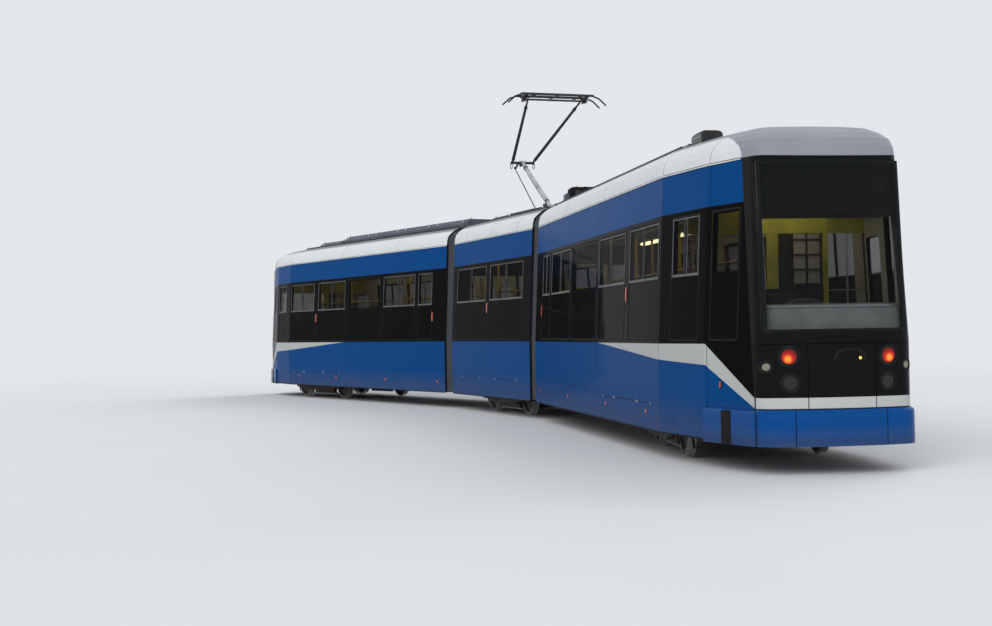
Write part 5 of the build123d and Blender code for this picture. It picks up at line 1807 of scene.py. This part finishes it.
def blown(points, faces, most):
    """The same points after a run of cloth under pressure; none moves further than most."""
    trial = meshed("pad_trial", points, faces)
    mesh = trial.data
    cloth = trial.modifiers.new("cloth", "CLOTH")
    cloth.settings.use_pressure = True
    cloth.settings.uniform_pressure_force = PRESSURE
    cloth.settings.effector_weights.gravity = 0.0
    cloth.settings.quality = 6
    scene = bpy.context.scene
    kept = scene.frame_current
    for number in range(1, FRAMES + 1):
        scene.frame_set(number)
    shaped = trial.evaluated_get(bpy.context.evaluated_depsgraph_get()).to_mesh()
    result = []
    for start, vertex in zip(points, shaped.vertices):
        move = vertex.co - start
        if start.z < 0.001:
            move.z = 0.0
        if move.length > most:
            move = move.normalized() * most
        result.append(start + move)
    scene.frame_set(kept)
    bpy.data.objects.remove(trial)
    bpy.data.meshes.remove(mesh)
    return result


# Seats of an end section: (stations, from the middle, to, floor, facing)
SEAT_ROWS = [((0.9,), 0.3, 1.095, FLOOR, 1), ((1.85,), 0.3, 1.095, FLOOR, -1), ((2.5,), 0.3, 1.095, FLOOR, 1),
             ((3.35,), 0.3, 1.095, FLOOR, -1), ((4.0,), 0.3, 1.095, FLOOR, 1), ((4.85,), 0.3, 1.095, FLOOR, -1),
             ((3.6, 4.5), -1.095, -0.64, FLOOR, 1), ((6.2, 7.0, 7.8), 0.3, 1.095, RAISED_FLOOR, 1),
             ((6.2, 7.0, 7.8), -1.095, -0.3, RAISED_FLOOR, 1)]
END_SEATS = [(u, *row) for stations, *row in SEAT_ROWS for u in stations]
MIDDLE_SEATS = [(end * x, *sorted((side * 0.55, side * 1.08)), 0.7, facing * end)
                for side in (1, -1) for end in (1, -1) for x, facing in ((1.0, -1), (0.26, 1))]


def laid(points, section, u, v, z, facing, tilt):
    """Places in the frame of a pad's points: laid down as a seat, or stood up and turned over as a back."""
    c, s = cos(tilt), sin(tilt)
    turned = [(p.x, p.y, p.z if tilt < 1 else -p.z) for p in points]
    return [section.at(u + facing * (a * c - b * s), v + y, z + (a * s + b * c)) for a, y, b in turned]


def seat_cushions():
    """Stuffed seat and back pads on every place, and on the two drivers' chairs."""
    for section in SECTIONS.values():
        table = MIDDLE_SEATS if section is MIDDLE else END_SEATS
        for number, (u, v0, v1, floor, facing) in enumerate(table):
            places = 2 if v1 - v0 > 0.6 else 1
            half = (v1 - v0) / places / 2 - 0.012
            seat = stuffed(0.185, round(half, 3), 0.045)
            rest = stuffed(0.24, round(half - 0.01, 3), 0.036)
            pads = Shape()
            for k in range(places):
                v = v0 + (v1 - v0) * (k + 0.5) / places
                base = floor + 0.0003
                for (points, faces), z, lean_back, shift in ((seat, base + 0.4215, 0.049, 0.025),
                                                             (rest, base + 0.7, radians(99.0), -0.2195)):
                    pads.add(laid(points, section, u + facing * shift, v, z, facing, lean_back), faces)
            piece = pads.build(f"{section.car}_seat_pads_{number + 1}", [moquette()], section.body, "seat_fabric",
                               smooth=60)
            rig.padded(piece, 0.7)
    for section in ENDS:
        pads = Shape()
        for (points, faces), u, z, turn in ((stuffed(0.22, 0.2, 0.07), 9.07, 1.09, 0.03),
                                            (stuffed(0.3, 0.19, 0.06), 8.815, 1.48, radians(95.0))):
            pads.add(laid(points, section, u, 0.0, z, 1, turn), faces)
        piece = pads.build(f"{section.car}_driver_pads", [chair_cloth()], section.body, "seat_fabric", smooth=60)
        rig.padded(piece, 0.8)


# The stage

# Colour of the surroundings, and how far the floor reaches
BACKGROUND = rgb(228, 231, 235)
REACH = 90.0
# The photograph's camera: focal length in widths of the picture, sensor, place, and yaw, pitch and roll
PHOTO_WIDTH = 992.0
FOCAL_LENGTH = 1547.03 / PHOTO_WIDTH
SENSOR = 36.0
EYE = Vector((-25.779, 9.876, 1.402))
AIM = [radians(angle) for angle in (-18.924, 0.724, -0.979)]


def stage_floor():
    """Pale floor under the wheels, which fades into the surroundings far off."""
    f = Finish("studio_floor", roughness=0.85, specular_ior_level=0.2)
    x, y, _ = f.place()
    seen = f.node("ShaderNodeLightPath").value("Is Camera Ray")
    far = (x * x + y * y).root().rise(14.0, 46.0) * seen
    glow = f.node("ShaderNodeEmission", None, {"Color": BACKGROUND})
    blend = f.node("ShaderNodeMixShader", None, {0: far, 1: Value(f, f.shader.outputs[0]), 2: glow})
    f.put(f.tree.nodes["Material Output"].inputs["Surface"], blend)
    f.set("Base Color", f.mix(f.noise(0.3, 3.0), rgb(214, 215, 216), rgb(208, 209, 210)))
    f.bump(f.noise(30.0, 3.0), 0.0005)
    corners = [(x, y, GROUND) for x, y in ((-REACH, -REACH), (REACH, -REACH), (REACH, REACH), (-REACH, REACH))]
    floor = meshed("studio_floor", corners, [(0, 1, 2, 3)])
    f.on(floor)
    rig.stage(floor)


def studio_world(strength):
    """Even pale surroundings, seen at full brightness by the camera, by gloss and through glass."""
    world = bpy.data.worlds.new("studio")
    bpy.context.scene.world = world
    world.use_nodes = True
    world.node_tree.nodes.clear()
    graph = Graph(world.node_tree)
    path = graph.node("ShaderNodeLightPath")
    direct = path.value("Is Camera Ray").most(path.value("Is Glossy Ray"))
    seen = direct.most(path.value("Is Transmission Ray"))
    light = graph.node("ShaderNodeBackground", None, {0: rgb(236, 240, 246), 1: strength})
    view = graph.node("ShaderNodeBackground", None, {0: BACKGROUND})
    choice = graph.node("ShaderNodeMixShader", None, {0: seen, 1: light, 2: view})
    graph.node("ShaderNodeOutputWorld", None, {0: choice})


def lamp(name, place, strength, spread):
    """Broad even light from one direction, kept out of the reflections."""
    data = bpy.data.lights.new(name, "SUN")
    data.energy = strength
    data.angle = radians(spread)
    lit = linked(name, data)
    lit.location = place
    lit.visible_glossy = False
    lit.rotation_mode = "QUATERNION"
    lit.rotation_quaternion = (-Vector(place)).to_track_quat("-Z", "Y")


def photo_camera():
    """Camera where the photograph was taken from."""
    yaw, pitch, roll = AIM
    ahead = Vector((cos(pitch) * cos(yaw), cos(pitch) * sin(yaw), sin(pitch)))
    level = Vector((sin(yaw), -cos(yaw), 0.0))
    up = level.cross(ahead)
    right = level * cos(roll) + up * sin(roll)
    top = up * cos(roll) - level * sin(roll)
    data = bpy.data.cameras.new("photo_camera")
    data.sensor_width = SENSOR
    data.lens = SENSOR * FOCAL_LENGTH
    data.clip_start = 0.5
    data.clip_end = 400.0
    camera = linked("photo_camera", data)
    camera.matrix_world = Matrix.Translation(EYE) @ Matrix((right, top, -ahead)).transposed().to_4x4()
    bpy.context.scene.camera = camera


# What a user sets, and the operators


class TramPaint(bpy.types.PropertyGroup):
    """Paint colours."""

    blue: FloatVectorProperty(name="Body blue", description="Paint of the sides", subtype="COLOR",
                              default=rgb(0, 65, 124), min=0, max=1)
    bumper_blue: FloatVectorProperty(name="Bumper blue", description="Paint of the bumpers", subtype="COLOR",
                                     default=rgb(3, 66, 128), min=0, max=1)
    gloss_black: FloatVectorProperty(name="Gloss black", description="Window band and face", subtype="COLOR",
                                     default=rgb(14, 14, 15), min=0, max=1)
    stripe_white: FloatVectorProperty(name="Stripe white", description="Stripe along the waist", subtype="COLOR",
                                      default=rgb(172, 174, 172), min=0, max=1)


class TramSizes(bpy.types.PropertyGroup):
    """Sizes and light levels."""

    pleats: IntProperty(name="Bellows pleats", description="Folds across one joint", default=11, min=4, max=30)
    cabin_light: FloatProperty(name="Cabin light", description="Brightness of the ceiling lights", default=5.0,
                               min=0, max=20)
    surround: FloatProperty(name="Surround light", description="Strength of the even light", default=0.62,
                            min=0, max=3)


class TRAM_OT_stage(bpy.types.Operator):
    """Pale floor, soft lamps and the camera of the photograph"""

    bl_idname = "tram.stage"
    bl_label = "Stage"

    def execute(self, context):
        context.scene.view_settings.view_transform = "Standard"
        stage_floor()
        studio_world(context.scene.tram_sizes.surround)
        lamp("key_lamp", (-26, 26, 24), 1.9, 40)
        lamp("fill_lamp", (-34, -6, 12), 0.6, 50)
        lamp("far_lamp", (14, -22, 20), 1.1, 40)
        photo_camera()
        return {"FINISHED"}


class TRAM_OT_finishes(bpy.types.Operator):
    """Gives every solid of the model its finish"""

    bl_idname = "tram.finishes"
    bl_label = "Finishes of the solids"

    def execute(self, context):
        coats = {"body": body_paint, "doors": body_paint, "roof": roof_paint, "mask": mask_gloss,
                 "bumper": bumper_paint, "side_glass": side_glass, "windscreen": windscreen_glass,
                 "lamps": lamp_glass, "display": display_panel, "floor": floor_finish}
        shared = {"seats": seat_shell, "poles": pole_coat, "desk": desk_plastic, "roof_gear": gear_coat,
                  "bogie": frame_steel, "bellows": bellows_rubber}
        for car in SECTIONS:
            for part, make in coats.items():
                if f"{car}_{part}" in frame["nodes"]:
                    make(car).on(frame["nodes"][f"{car}_{part}"])
            for part, make in shared.items():
                if f"{car}_{part}" in frame["nodes"]:
                    make().on(frame["nodes"][f"{car}_{part}"])
        for name, node in frame["nodes"].items():
            if "wheel" in name:
                low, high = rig.box(name)
                wheel_steel(f"{name}_steel", (low + high) / 2, wheel_yaw(name)).on(node)
        for part, make in {"base": arm_black, "lower_arm": arm_grey, "upper_arm": arm_black, "rod": arm_black,
                           "head": arm_black}.items():
            make().on(frame["nodes"][f"pantograph_{part}"])
        return {"FINISHED"}


class TRAM_OT_windows(bpy.types.Operator):
    """Window seals and the frames of the sliding panes"""

    bl_idname = "tram.windows"
    bl_label = "Windows"

    def execute(self, context):
        for section in SECTIONS.values():
            window_trim(section)
        return {"FINISHED"}


class TRAM_OT_side_trim(bpy.types.Operator):
    """Marker lamps, reflectors, service flaps and gutters of the sides"""

    bl_idname = "tram.side_trim"
    bl_label = "Side trim"

    def execute(self, context):
        for section in SECTIONS.values():
            side_trim(section)
        return {"FINISHED"}


class TRAM_OT_faces(bpy.types.Operator):
    """Trim of both faces, and the ledge behind each windscreen"""

    bl_idname = "tram.faces"
    bl_label = "Faces"

    def execute(self, context):
        for section in ENDS:
            face_trim(section)
            screen_ledge(section)
        return {"FINISHED"}


class TRAM_OT_bellows(bpy.types.Operator):
    """Pleated bellows at both joints"""

    bl_idname = "tram.bellows"
    bl_label = "Bellows"

    def execute(self, context):
        for section in ENDS:
            bellows(section, context.scene.tram_sizes.pleats)
        return {"FINISHED"}


class TRAM_OT_doors(bpy.types.Operator):
    """Door rubbers, buttons and thresholds on the right side"""

    bl_idname = "tram.doors"
    bl_label = "Doors"

    def execute(self, context):
        for section in ENDS:
            door_trim(section)
        return {"FINISHED"}


class TRAM_OT_roof(bpy.types.Operator):
    """Fittings of the roofs and their housings"""

    bl_idname = "tram.roof"
    bl_label = "Roof fittings"

    def execute(self, context):
        for section in SECTIONS.values():
            roof_fittings(section)
        rear_roof_boxes()
        return {"FINISHED"}


class TRAM_OT_pantograph(bpy.types.Operator):
    """Springs, shunts, sleeves and insulators of the pantograph"""

    bl_idname = "tram.pantograph"
    bl_label = "Pantograph fittings"

    def execute(self, context):
        for make in (base_fittings, lower_fittings, upper_fittings, head_fittings):
            make()
        return {"FINISHED"}


class TRAM_OT_running_gear(bpy.types.Operator):
    """Springs, covers, ribs and brakes of the bogies and wheels"""

    bl_idname = "tram.running_gear"
    bl_label = "Running gear"

    def execute(self, context):
        for section in SECTIONS.values():
            bogie_fittings(section)
            wheel_fittings(section)
        return {"FINISHED"}


class TRAM_OT_inside(bpy.types.Operator):
    """Lights, duct, pole sockets, cab wall and driver's seat"""

    bl_idname = "tram.inside"
    bl_label = "Inside"

    def execute(self, context):
        for section in SECTIONS.values():
            cabin(section)
        for section in ENDS:
            cab_wall(section)
            cab_fittings(section)
        return {"FINISHED"}


class TRAM_OT_cushions(bpy.types.Operator):
    """Cushions of every seat"""

    bl_idname = "tram.cushions"
    bl_label = "Cushions"

    def execute(self, context):
        seat_cushions()
        return {"FINISHED"}


OPERATORS = (TRAM_OT_stage, TRAM_OT_finishes, TRAM_OT_windows, TRAM_OT_side_trim, TRAM_OT_faces, TRAM_OT_bellows,
             TRAM_OT_doors, TRAM_OT_roof, TRAM_OT_pantograph, TRAM_OT_running_gear, TRAM_OT_inside, TRAM_OT_cushions)


class TRAM_PT_pieces(bpy.types.Panel):
    """Lists the operators and what can be set"""

    bl_label = "Tram"
    bl_idname = "TRAM_PT_pieces"
    bl_space_type = "VIEW_3D"
    bl_region_type = "UI"
    bl_category = "Tram"

    def draw(self, context):
        layout = self.layout
        for group in (context.scene.tram_paint, context.scene.tram_sizes):
            for name in group.bl_rna.properties.keys():
                if name not in ("rna_type", "name"):
                    layout.prop(group, name)
        for operator in OPERATORS:
            layout.operator(operator.bl_idname)


CLASSES = (TramPaint, TramSizes, *OPERATORS, TRAM_PT_pieces)


def register():
    for entry in CLASSES:
        bpy.utils.register_class(entry)
    bpy.types.Scene.tram_paint = PointerProperty(type=TramPaint)
    bpy.types.Scene.tram_sizes = PointerProperty(type=TramSizes)


def unregister():
    del bpy.types.Scene.tram_paint
    del bpy.types.Scene.tram_sizes
    for entry in reversed(CLASSES):
        bpy.utils.unregister_class(entry)


def main():
    """Registers the classes, makes every piece in order and writes the two boxes."""
    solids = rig.bounds()
    register()
    for operator in OPERATORS:
        group, name = operator.bl_idname.split(".")
        getattr(getattr(bpy.ops, group), name)()
    with open("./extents.json", "w") as report:
        json.dump({"solids": [list(p) for p in solids], "dressed": [list(p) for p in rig.bounds()]}, report)


if __name__ == "__main__":
    main()
